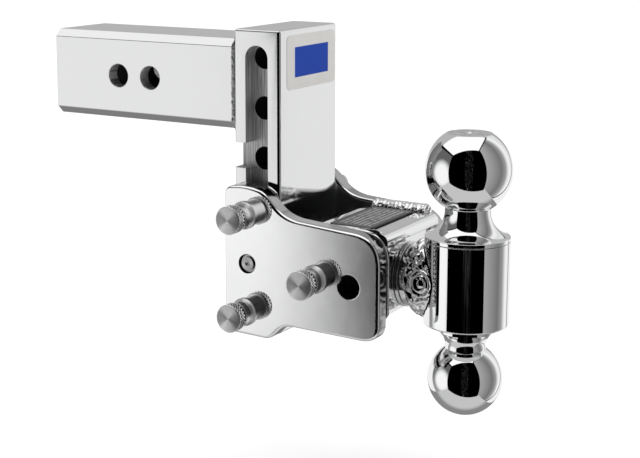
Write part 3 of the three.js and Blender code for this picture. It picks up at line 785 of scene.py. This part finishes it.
def make_upright(material, cut_face_material, milled):
    bar_solid = prism("upright_bar", rectangle(UPRIGHT_LOW.x, UPRIGHT_HIGH.x, -UPRIGHT_HALF, UPRIGHT_HALF),
                      "Z", UPRIGHT_LOW.z, UPRIGHT_HIGH.z)
    round_edges(bar_solid, 2.0, 4)
    floor = UPRIGHT_HALF - SLOT_DEPTH
    r = SLOT_WIDTH / 2
    slot = arc(SLOT_X, ROW_TOP_Z, r, 0, 180, 32) + arc(SLOT_X, SLOT_BOTTOM_Z, r, 180, 360, 32)
    key_way = rectangle(UPRIGHT_LOW.x - 1, SLOT_X, KEY_WAY_TOP_Z - KEY_WAY_HEIGHT, KEY_WAY_TOP_Z)
    tools = []
    for start, end in ((floor, 2 * UPRIGHT_HALF), (-2 * UPRIGHT_HALF, -floor)):
        tools += [prism("tool", outline, "Y", start, end) for outline in (slot, key_way)]
    cut(bar_solid, tools, milled)
    round_edges(bar_solid, 0.45, 2)
    reach = 2 * UPRIGHT_HALF
    holes = [cross_bar(SLOT_X, ROW_TOP_Z - i * ROW_PITCH, ROW_HOLE_R, reach) for i in range(ROW_COUNT)]
    holes += [cross_bar(PIN_X[pin], PIN_Z[pin], BORE_R, reach) for pin in PIN_NAMES[:2]]
    cut(bar_solid, holes, cut_face_material)
    finish_piece(bar_solid, "frame", ["upright"], material)


PANEL_HALF_Y, PANEL_HALF_Z = 0.023, 0.0105  # the badge's blue rectangle, in metres
PRINT_BLUR = 0.00015


def make_badge():
    """Pale decal with a plain blue rectangle on it."""
    plate = prism("badge", rectangle(BADGE_LOW.y, BADGE_HIGH.y, BADGE_LOW.z, BADGE_HIGH.z, 4, 8),
                  "X", BADGE_LOW.x, BADGE_HIGH.x)
    round_edges(plate, 0.2, 2)
    material, graph, coords = new_material("badge_decal")
    parts = graph.parts(coords)
    middle_y = (BADGE_LOW.y + BADGE_HIGH.y) / 2 * MM
    middle_z = (BADGE_LOW.z + BADGE_HIGH.z) / 2 * MM
    y = graph.minus(parts[1], middle_y)
    z = graph.minus(parts[2], middle_z)

    def inside(value, half):
        return graph.step(graph.minus(half, graph.size(value)), 0, PRINT_BLUR)

    panel = graph.times(inside(y, PANEL_HALF_Y), inside(z, PANEL_HALF_Z))
    print_grain = graph.noise(coords, 2500, 2)
    blue = graph.mix(graph.times(print_grain, 0.15), (0.009, 0.05, 0.38, 1), (0.03, 0.12, 0.5, 1))
    ground = graph.mix(graph.noise(coords, 60, 3), (0.66, 0.65, 0.63, 1), (0.74, 0.73, 0.71, 1))
    colour = graph.mix(panel, ground, blue)
    # painted light: the decal glows faintly in its own colour
    output(graph, colour, 0.5, graph.bump(print_grain, 0.000004, 0.4), **{
        "Specular IOR Level": 0.1, "Emission Color": colour, "Emission Strength": 0.25})
    finish_piece(plate, "frame", ["badge_plate"], material)
    plate.visible_glossy = False


# ---- carriage


def plate_outline():
    """Deep front lobe over the upright, stepped down to a waist behind it."""
    front, rear = PLATE_LOW.x, PLATE_HIGH.x
    top, bottom = PLATE_HIGH.z, PLATE_LOW.z
    waist_top, waist_bottom = -88, -160.8
    path = [(front, bottom + 7), (front, top - 8)]
    path += bezier(path[-1], (front, top - 1.5), (front + 7, top - 0.8))
    path += bezier(path[-1], (front + 20, top + 0.8), (front + 29, top - 2))
    path += bezier(path[-1], (front + 40, top - 7), (front + 40, waist_top + 3.5),
                   (front + 60, waist_top + 1.5), steps=24)
    path.append((rear - 20, waist_top - 1.5))
    path += bezier(path[-1], (rear, waist_top - 3), (rear, waist_top - 24), steps=20)
    path.append((rear, waist_bottom + 10))
    path += bezier(path[-1], (rear, waist_bottom - 1.5), (rear - 14, waist_bottom - 1.4), steps=14)
    path.append((front + 54, waist_bottom))
    path += bezier(path[-1], (front + 42, waist_bottom), (front + 42, bottom), (front + 32, bottom), steps=20)
    path.append((front + 7, bottom + 0.8))
    path += bezier(path[-1], (front, bottom + 0.5), (front, bottom + 7))[:-1]
    return path


def make_plate(name, side, material, cut_face_material, rim):
    start, end = sorted((side * PLATE_INNER_Y, side * PLATE_OUTER_Y))
    plate = prism("side_plate_" + name + "_shell", plate_outline(), "Y", start, end)
    round_edges(plate, 2.2, 5)
    holes = [(PIN_X[pin], PIN_Z[pin], BORE_R) for pin in PIN_NAMES]
    holes += [(LOCK_HOLE_X, SWIVEL_Z, LOCK_HOLE_R), (SLOT_X, KEY_Z, KEY_SHANK_R + GAP)]
    cut(plate, [bar("Y", x, z, r, start - 1, end + 1) for x, z, r in holes], cut_face_material)
    round_edges(plate, 0.5, 2)
    plate.data.materials.append(rim)
    # the edge faces take the darker copy of the chrome, a painted shade
    for polygon in plate.data.polygons:
        if polygon.material_index == 0 and abs(polygon.normal.y) < 0.45:
            polygon.material_index = 2
    finish_piece(plate, "frame", ["side_plate_" + name], material)


def make_key(name, side, material):
    """Stepped key: boss in the upright's slot, stem in the plate, and a small face with a centre mark."""
    boss_r = (KEY_HIGH.x - KEY_LOW.x) / 2
    face = KEY_HIGH.y
    profile = fillet([
        (0, KEY_LOW.y), (boss_r, KEY_LOW.y, 0.5), (boss_r, PLATE_INNER_Y - GAP, 0.3),
        (KEY_SHANK_R, PLATE_INNER_Y - GAP), (KEY_SHANK_R, face - 1.6, 0.3), (KEY_FACE_R, face - 1.6),
        (KEY_FACE_R, face, 0.35), (1.9, face, 0.2), (0.9, face - 0.9), (0, face - 1.2)], False, 4)
    key = lathe("guide_key_" + name + "_turned", [(r, side * h) for r, h in profile], "Y", 64)
    finish_piece(key, "frame", ["guide_key_" + name], material, (SLOT_X, 0, KEY_Z))


def make_block(material, cut_face_material):
    lip = BLOCK_HIGH.z - BLOCK_LIP_DEPTH
    outline = fillet([
        (BLOCK_LOW.x, BLOCK_LOW.z), (BLOCK_REAR_X, BLOCK_LOW.z), (BLOCK_REAR_X, lip, 1.5),
        (BLOCK_HIGH.x, lip, 1.2), (BLOCK_HIGH.x, BLOCK_HIGH.z, BLOCK_NOSE_R), (BLOCK_LOW.x, BLOCK_HIGH.z)],
        steps=10)
    solid = prism("swivel_block_body", outline, "Y", BLOCK_LOW.y, BLOCK_HIGH.y)
    reach = BLOCK_HIGH.y + 1
    cut(solid, [
        bar("X", 0, SWIVEL_Z, BUSH_R + GAP, STUB_LOW.x - GAP, BLOCK_HIGH.x + 1, ROUND_SEGMENTS),
        cross_bar(PIN_X["swivel_pin"], PIN_Z["swivel_pin"], BORE_R, reach),
        cross_bar(LOCK_HOLE_X, SWIVEL_Z, BORE_R, reach),
        bar("Z", SCREW_X, 0, SCREW_R + GAP, BLOCK_LOW.z - 1, SWIVEL_Z)], cut_face_material)
    round_edges(solid, 0.5, 2)
    finish_piece(solid, "frame", ["swivel_block"], material)


def straight(start, end, first, second, spacing=0.4):
    """Stations of a straight bead between two corners, its ends drawn in."""
    start, end = Vector(start), Vector(end)
    count = round((end - start).length / spacing)
    stations = []
    for i in range(count + 1):
        t = i / count
        taper = min(1, 0.35 + 1.3 * math.sqrt(min(t, 1 - t) * 4))
        stations.append((start.lerp(end, t), Vector(first) * taper, Vector(second) * taper))
    return stations


def make_block_welds(material):
    for name, side in (("near", -1), ("far", 1)):
        low, high = span("block_weld_top_" + name)
        y = side * TOP_WELD_CORNER_Y
        top = weld_bead("top_weld_" + name, straight(
            (low.x, y, low.z), (high.x, y, low.z), (0, side * (low.y - high.y), 0), (0, 0, high.z - low.z)),
            False, 3.0, 0.7 if side > 0 else 0.3, 0.75)
        finish_piece(top, "frame", ["block_weld_top_" + name], material, crease=70)
        y = side * REAR_WELD_HIGH.y
        leg = REAR_WELD_HIGH.y - REAR_WELD_LOW.y
        depth = REAR_WELD_HIGH.x - REAR_WELD_LOW.x
        rear = weld_bead("rear_weld_" + name, straight(
            (REAR_WELD_LOW.x, y, REAR_WELD_LOW.z), (REAR_WELD_LOW.x, y, REAR_WELD_HIGH.z),
            (0, -side * leg, 0), (depth, 0, 0)), False, 3.2, 0.8)
        finish_piece(rear, "frame", ["block_weld_rear_" + name], material, crease=70)


LABEL_BARS = 9


def make_rating_label():
    """Grey label with plain light bars between dark borders, no lettering."""
    sheet = prism("rating_label", rectangle(RATING_LOW.x, RATING_HIGH.x, RATING_LOW.y, RATING_HIGH.y, 1, 3),
                  "Z", RATING_LOW.z, RATING_HIGH.z)
    round_edges(sheet, 0.15, 2)
    material, graph, coords = new_material("label_print")
    parts = graph.parts(coords)
    length = RATING_HIGH.x - RATING_LOW.x
    along = graph.over(graph.minus(parts[0], RATING_LOW.x * MM), length * MM)
    width = RATING_HIGH.y - RATING_LOW.y
    across = graph.over(graph.minus(parts[1], RATING_LOW.y * MM), width * MM)
    rows = graph.math("PINGPONG", graph.times(along, 2 * LABEL_BARS), 1.0)
    bars = graph.step(rows, 0.4, 0.6)
    words = graph.step(graph.noise(graph.stretched(coords, (500, 240, 1)), 1.0, 1), 0.38, 0.44)
    bars = graph.times(bars, words)
    margin, sides = [graph.minus(0.5, graph.size(graph.minus(share, 0.5))) for share in (along, across)]
    bars = graph.times(bars, graph.step(margin, 0.12, 0.14))
    bars = graph.times(bars, graph.step(sides, 0.07, 0.08))
    ground = graph.greys(graph.noise(coords, 300, 3), 0.13, 0.19)
    colour = graph.mix(graph.times(bars, 0.85), ground, grey(0.7))
    border = graph.minus(1.0, graph.step(margin, 0.045, 0.06))
    colour = graph.mix(border, colour, grey(0.02))
    output(graph, colour, 0.4, graph.bump(bars, 0.00001, 0.5), **{"Specular IOR Level": 0.3})
    finish_piece(sheet, "frame", ["rating_plate"], material)


def make_bearing(bronze, steel):
    """Bush, thrust washer and the dog-point screw that keeps the stub in the block."""
    bush = lathe("swivel_bush_sleeve", fillet([
        (STUB_R + GAP, BUSH_LOW.x, 0.4), (BUSH_R, BUSH_LOW.x, 0.4), (BUSH_R, BUSH_HIGH.x, 0.4),
        (STUB_R + GAP, BUSH_HIGH.x, 0.4)], steps=3), "X")
    reach = BUSH_R + 2
    cut(bush, [cross_bar(LOCK_HOLE_X, 0, BORE_R, reach),
               bar("Z", SCREW_X, 0, SCREW_R + GAP, -reach, 0)])
    finish_piece(bush, "frame", ["swivel_bush"], bronze, (0, 0, SWIVEL_Z))
    washer = lathe("thrust_washer_ring", fillet([
        (STUB_R + GAP, WASHER_LOW.x, 0.3), (WASHER_R, WASHER_LOW.x, 0.5), (WASHER_R, WASHER_HIGH.x, 0.5),
        (STUB_R + GAP, WASHER_HIGH.x, 0.3)], steps=3), "X")
    finish_piece(washer, "frame", ["thrust_washer"], steel, (0, 0, SWIVEL_Z))
    neck = SWIVEL_Z - BUSH_R - 1
    screw = lathe("retaining_screw_body", fillet([
        (0, SCREW_LOW.z), (SCREW_R, SCREW_LOW.z, 0.4), (SCREW_R, neck, 0.2), (3.4, neck + 1.5),
        (3.4, SCREW_HIGH.z, 0.5), (0, SCREW_HIGH.z)], False, 3), "Z", HOLE_SEGMENTS)
    cut(screw, [bar("Z", 0, 0, 2.9, SCREW_LOW.z - 1, SCREW_LOW.z + 4.6, 6)])
    finish_piece(screw, "frame", ["retaining_screw"], steel, (SCREW_X, 0, 0))


# ---- ball unit


def make_stub(material):
    shoulder = BLOCK_REAR_X + (WASHER_HIGH.x - WASHER_LOW.x) + 2 * GAP
    groove_r = STUB_R - GROOVE_DEPTH
    stub = lathe("swivel_stub_turned", fillet([
        (0, STUB_LOW.x), (STUB_R, STUB_LOW.x, 1.0), (STUB_R, SCREW_X - GROOVE_HALF_WIDTH, 0.4),
        (groove_r, SCREW_X - GROOVE_HALF_WIDTH, 0.8), (groove_r, SCREW_X + GROOVE_HALF_WIDTH, 0.8),
        (STUB_R, SCREW_X + GROOVE_HALF_WIDTH, 0.4), (STUB_R, shoulder), (SHOULDER_R, shoulder, 0.6),
        (SHOULDER_R, STUB_HIGH.x), (0, STUB_HIGH.x)], False, 4), "X")
    reach = STUB_R + 4
    cut(stub, [
        cross_bar(LOCK_HOLE_X, 0, BORE_R, reach),
        bar("Z", BALL_X, 0, BARREL_R + GAP, -2 * reach, 2 * reach, BALL_SEGMENTS)])
    finish_piece(stub, "ball_unit", ["swivel_stub"], material, (0, 0, SWIVEL_Z))


def make_stub_weld(material):
    """Heavy bead round the saddle where the stub meets the barrel."""
    stations = []
    count = 420
    inner = SHOULDER_R + GAP
    skin = BARREL_R + GAP
    spread = (STUB_WELD_HIGH.z - STUB_WELD_LOW.z) / 2 - inner
    for i in range(count):
        angle = TAU * i / count
        away = Vector((0, math.cos(angle), math.sin(angle)))
        y = inner * away.y
        corner = Vector((BALL_X - math.sqrt(skin * skin - y * y), y, SWIVEL_Z + inner * away.z))
        leg = corner.x - STUB_WELD_LOW.x
        on_skin = Vector((BALL_X - corner.x, 0, 0)) - Vector((0, y, 0))
        on_skin.normalize()
        tangent = (away - on_skin * away.dot(on_skin)).normalized()
        stations.append((corner, Vector((-leg, 0, 0)), tangent * spread))
    ahead, aside, above = STUB_CRATER
    crater = Vector((BALL_X + ahead, aside, SWIVEL_Z + above))
    bead = weld_bead("stub_weld_bead", stations, True, 7.2, 1.5, 0.85, 48, crater, 1.6, 0.35)
    finish_piece(bead, "ball_unit", ["stub_weld"], material, crease=70)


def make_barrel(material):
    bore = BALL_STEM_R + GAP
    barrel = lathe("ball_barrel_turned", fillet([
        (bore, BARREL_LOW.z, 0.4), (BARREL_R, BARREL_LOW.z, 1.4), (BARREL_R, BARREL_HIGH.z, 0.4),
        (bore, BARREL_HIGH.z, 0.4)], steps=6), "Z", BALL_SEGMENTS)
    finish_piece(barrel, "ball_unit", ["ball_barrel"], material, (BALL_X, 0, 0))


def turned_flat():
    """Coarse lathe finish on the ball's flat top."""
    material, graph, coords = new_material("turned_flat")
    pits = graph.noise(coords, 700, 3, 0.7)
    colour = graph.greys(graph.step(pits, 0.35, 0.6), 0.45, 0.9)
    output(graph, colour, 0.3, graph.bump(pits, 0.0002, 0.8), Metallic=1.0)
    return material


def make_upper_ball(material, flat_material):
    """Ball with a turned flat on top, a neck and a flared foot."""
    centre = UPPER_HIGH.z - math.sqrt(UPPER_R ** 2 - UPPER_FLAT_R ** 2)
    foot = BARREL_HIGH.z + GAP
    reach = BARREL_R - UPPER_FOOT_EDGE - UPPER_NECK_R
    turn = latitude(UPPER_FLARE_R - reach, UPPER_FLARE_R)
    flare = arc(UPPER_NECK_R + UPPER_FLARE_R, UPPER_FLARE_Z, UPPER_FLARE_R, 180 + turn, 180, 32)
    low = latitude(UPPER_NECK_R, UPPER_R)
    high = latitude(UPPER_FLAT_R, UPPER_R)
    sphere = arc(0, centre, UPPER_R, -low, high, 72)
    profile = fillet([
        (0, UPPER_LOW.z), (BALL_STEM_R, UPPER_LOW.z, 1), (BALL_STEM_R, foot), (BARREL_R, foot, 0.25),
        (BARREL_R, flare[0][1] - 0.1, 0.7), flare[0]], False, 5)
    profile += flare[1:]
    profile += sphere
    profile += [(UPPER_FLAT_R - 0.5, UPPER_HIGH.z), (2.2, UPPER_HIGH.z), (1.4, UPPER_HIGH.z - 0.7),
                (0, UPPER_HIGH.z - 1.0)]
    ball = lathe("upper_ball_turned", profile, "Z", BALL_SEGMENTS)
    ball.data.materials.append(material)
    ball.data.materials.append(flat_material)
    for polygon in ball.data.polygons:
        polygon.material_index = 1 if polygon.center.z > UPPER_HIGH.z - 0.02 else 0
    finish_piece(ball, "ball_unit", ["upper_ball"], material, (BALL_X, 0, 0), crease=35)


def make_lower_ball(material):
    centre = LOWER_LOW.z + math.sqrt(LOWER_R ** 2 - LOWER_FLAT_R ** 2)
    foot = BARREL_LOW.z - GAP
    neck = latitude(LOWER_NECK_R, LOWER_R)
    flat = latitude(LOWER_FLAT_R, LOWER_R)
    profile = [(0, LOWER_LOW.z + 0.8), (1.2, LOWER_LOW.z + 0.6), (2.0, LOWER_LOW.z)]
    profile += arc(0, centre, LOWER_R, -flat, neck, 64)
    reach = LOWER_FOOT_R - LOWER_NECK_R
    turn = latitude(LOWER_FLARE_R - reach, LOWER_FLARE_R)
    profile += arc(LOWER_NECK_R + LOWER_FLARE_R, LOWER_FLARE_Z, LOWER_FLARE_R, 180, 180 - turn, 24)
    profile += fillet([(LOWER_FOOT_R, profile[-1][1] + 0.4), (LOWER_FOOT_R, foot, 0.3), (BALL_STEM_R, foot),
                       (BALL_STEM_R, LOWER_HIGH.z, 1), (0, LOWER_HIGH.z)], False, 5)
    ball = lathe("lower_ball_turned", profile, "Z", BALL_SEGMENTS)
    finish_piece(ball, "ball_unit", ["lower_ball"], material, (BALL_X, 0, 0), crease=35)


# ---- pins


def fine_run(radius, start, end, spacing=0.22):
    """Profile points close enough together to carry the knurl."""
    count = math.ceil(abs(end - start) / spacing)
    return [(radius, start + (end - start) * k / count) for k in range(count + 1)]


def knurl(start, end):
    """Diamond teeth on the full radius between two heights."""
    def saw(turns):
        return abs(2 * (turns - math.floor(turns)) - 1)

    def shape(radius, height, angle):
        if radius < KNURL_R - 0.01 or not start < height < end:
            return radius
        turns = angle / TAU * KNURL_TEETH
        climb = height * KNURL_TEETH / (TAU * KNURL_R)
        tooth = min(saw(turns + climb), saw(turns - climb))
        fade = min(1, (height - start) / KNURL_FADE, (end - height) / KNURL_FADE)
        return radius - KNURL_DEPTH * (1 - min(1, tooth * KNURL_STEEPNESS)) * fade
    return shape


def paint_knurl(piece, start, end, crest, painted_valley_shade):
    """Give the knurl's teeth their own material, and the valleys between them a near-black one that paints
    the shade in them.
    """
    slots = len(piece.data.materials)
    piece.data.materials.append(crest)
    piece.data.materials.append(painted_valley_shade)
    for polygon in piece.data.polygons:
        radius = math.hypot(polygon.center.x, polygon.center.z)
        if start < polygon.center.y < end and radius > KNOB_NECK_R:
            polygon.material_index = slots + (1 if radius < KNURL_R - 0.45 * KNURL_DEPTH else 0)


def make_rod(pin, steel):
    """Plain shaft with a groove for the rubber ring and a cross hole in its far end's side."""
    low, high = PIN_SPANS[pin]
    groove_low, groove_high = span(pin + "_ring")
    groove = (groove_low.y + groove_high.y) / 2
    half = (groove_high.y - groove_low.y) / 2 + 0.2
    rod = lathe(pin + "_rod", fillet([
        (0, low.y), (PIN_R, low.y, 0.3), (PIN_R, groove - half, 0.2), (PIN_GROOVE_R, groove - half),
        (PIN_GROOVE_R, groove + half), (PIN_R, groove + half, 0.2), (PIN_R, high.y - 2, 0.5),
        (PIN_R - 1.6, high.y, 0.4), (0, high.y)], False, 3), "Y", HOLE_SEGMENTS)
    cut(rod, [bar("Z", 0, PLATE_OUTER_Y + CLIP_HOLE_OUT, CLIP_HOLE_R, -9, 9, 32)])
    return rod, "_shaft", "pin_steel", steel, 40


def make_grip(pin, steel, face_steel, crest, painted_valley_shade):
    """Knob: knurled head with a turned face, two waisted stretches between rings, and a plain neck."""
    low, high = span(pin + "_knob")
    face, foot = low.y, high.y
    knurl_start, knurl_end = face + KNURL_MARGIN, face + KNOB_HEAD_END
    bore = PIN_R + GAP
    bottom = PIN_SPANS[pin][0].y - GAP
    profile = [(0, face), (KNOB_FACE_R, face), (KNURL_R - 0.25, face + 0.25)]
    profile += fine_run(KNURL_R, knurl_start, knurl_end)
    edge = KNOB_END_R - KNOB_GROOVE_DEPTH
    profile.append((KNOB_END_R, face + KNOB_BODY[0]))
    for groove in KNOB_GROOVES:
        profile += [(KNOB_END_R, face + groove), (edge, face + groove + 0.3),
                    (edge, face + groove + 0.8), (KNOB_END_R, face + groove + 1.1)]
    profile.append((KNOB_END_R, face + KNOB_BODY[1]))
    profile += fine_run(KNURL_R, face + KNOB_RING[0], face + KNOB_RING[1], 1.0)
    profile += fillet([(KNOB_NECK_R, face + KNOB_NECK_START), (KNOB_NECK_R, foot, 0.3), (bore, foot),
                       (bore, bottom), (0, bottom)], False, 3)
    grip = lathe(pin + "_grip", profile, "Y", KNURL_SEGMENTS, knurl(knurl_start, knurl_end))
    grip.data.materials.append(steel)
    grip.data.materials.append(face_steel)
    for polygon in grip.data.polygons:
        if abs(polygon.center.y - face) < 0.05:
            polygon.material_index = 1
    paint_knurl(grip, knurl_start, knurl_end, crest, painted_valley_shade)
    return grip, "_knob", "knob_steel", steel, 50


def make_collar(pin, steel, crest, painted_valley_shade):
    """Knurled base collar round the shaft."""
    low, high = span(pin + "_collar")
    start, end = low.y + KNURL_MARGIN, high.y - KNURL_MARGIN
    bore, rim = PIN_R + GAP, KNURL_R - 0.9
    profile = [(bore, low.y), (rim, low.y)]
    profile += fine_run(KNURL_R, start, end)
    profile += [(rim, high.y), (bore, high.y)]
    collar = lathe(pin + "_base", profile, "Y", KNURL_SEGMENTS, knurl(start, end))
    collar.data.materials.append(steel)
    paint_knurl(collar, start, end, crest, painted_valley_shade)
    return collar, "_collar", "knob_steel", steel, 50


def make_ring(pin, rubber):
    """Rubber ring in the shaft's groove."""
    low, high = span(pin + "_ring")
    inner, outer = PIN_GROOVE_R + 0.1, (high.x - low.x) / 2
    ring = lathe(pin + "_o_ring", fillet([
        (inner, low.y, 0.3), (outer, low.y, 0.4), (outer, high.y, 0.4), (inner, high.y, 0.3)],
        steps=5), "Y", HOLE_SEGMENTS)
    return ring, "_ring", "o_ring", rubber, 40


def make_pin(pin, rod_steel, knob_steel, face_steel, crest, painted_valley_shade, rubber):
    """A pin's pieces, kept out of the mirrored surfaces round them."""
    pieces = (make_rod(pin, rod_steel), make_grip(pin, knob_steel, face_steel, crest, painted_valley_shade),
              make_collar(pin, knob_steel, crest, painted_valley_shade), make_ring(pin, rubber))
    for piece, node, slot, material, crease in pieces:
        finish_piece(piece, pin, [pin + node], material, (PIN_X[pin], 0, PIN_Z[pin]), crease)
        piece.visible_glossy = False


# ---- assembly

bpy.context.scene.view_settings.view_transform = "Standard"
make_camera()
make_room()
make_floor()

bar_chrome = chrome("bar_chrome", 0.76, 0.08)
plate_chrome = chrome("plate_chrome", 0.96, 0.14)
# painted shade: a darker copy of the plate chrome for the plates' edge faces, standing in for the dimmer
# reflection there
shaded_rim_chrome = chrome("shaded_rim_chrome", 0.42, 0.12)
block_chrome = chrome("block_chrome", 0.82, 0.09)
ball_chrome = chrome("ball_chrome", 0.9, 0.03, 0.000004)
stub_chrome = chrome("stub_chrome", 0.86, 0.06, 0.00001, (900, 30, 30))
key_steel = turned_steel("key_steel", "Y", 0.8, 0.35)
bearing_steel = turned_steel("bearing_steel", "X", 0.85, 0.12)
pin_steel = turned_steel("pin_steel", "Y", 0.62, 0.2)
knob_steel = turned_steel("knob_steel", "Y", 0.95, 0.36, 1500, 0.5)
# a darker copy of the weld finish, for the bead round the shank
dark_weld = weld_finish("dark_weld", 0.3, 0.2, 0.00005)
bright_weld = weld_finish("bright_weld", 0.95, 0.16, 0.00004)
rope_weld = weld_finish("rope_weld", 0.92, 0.04, 0.000003)
bronze = stained("bronze", (120, 5), (1400, 2), (0.42, 0.26, 0.09, 1), (0.62, 0.42, 0.19, 1), 0.36,
                 Metallic=1.0)
rubber = stained("o_ring_rubber", (1800, 3), (1800, 3), grey(0.012), grey(0.03), 0.6, 0.6)
# painted shade: a near-black sheet inside the bores and the shank's hollow, standing in for the shade there
painted_bore_shade = stained("painted_bore_shade", (260, 4), (1600, 2), grey(0.004), grey(0.018), 0.75,
                      **{"Specular IOR Level": 0.1})
slot_finish = machined("milled_slot", (700, 700, 20))
hole_finish = machined("drilled_hole", (300, 30, 300))
# painted shade: a near-black copy of the turned steel for the knurl's valleys
painted_knurl_shade = turned_steel("painted_knurl_shade", "Y", 0.05, 0.4)
# the knobs' end faces carry the painted bow-tie sheen
knob_face = turned_steel("knob_face", "Y", 1.0, 0.3, 2600, 0.9, 0.36)
knurl_crest = turned_steel("knurl_crest", "Y", 1.0, 0.16, 900, 0.1)

make_shank(bar_chrome, painted_bore_shade, hole_finish)
make_shank_weld(dark_weld)
make_upright(bar_chrome, painted_bore_shade, slot_finish)
make_badge()
for name, side in (("near", -1), ("far", 1)):
    make_plate(name, side, plate_chrome, painted_bore_shade, shaded_rim_chrome)
    make_key(name, side, key_steel)
make_block(block_chrome, painted_bore_shade)
make_block_welds(bright_weld)
make_rating_label()
make_bearing(bronze, bearing_steel)
make_stub(stub_chrome)
make_stub_weld(rope_weld)
make_barrel(ball_chrome)
make_upper_ball(ball_chrome, turned_flat())
make_lower_ball(ball_chrome)
for pin in PIN_NAMES:
    make_pin(pin, pin_steel, knob_steel, knob_face, knurl_crest, painted_knurl_shade, rubber)
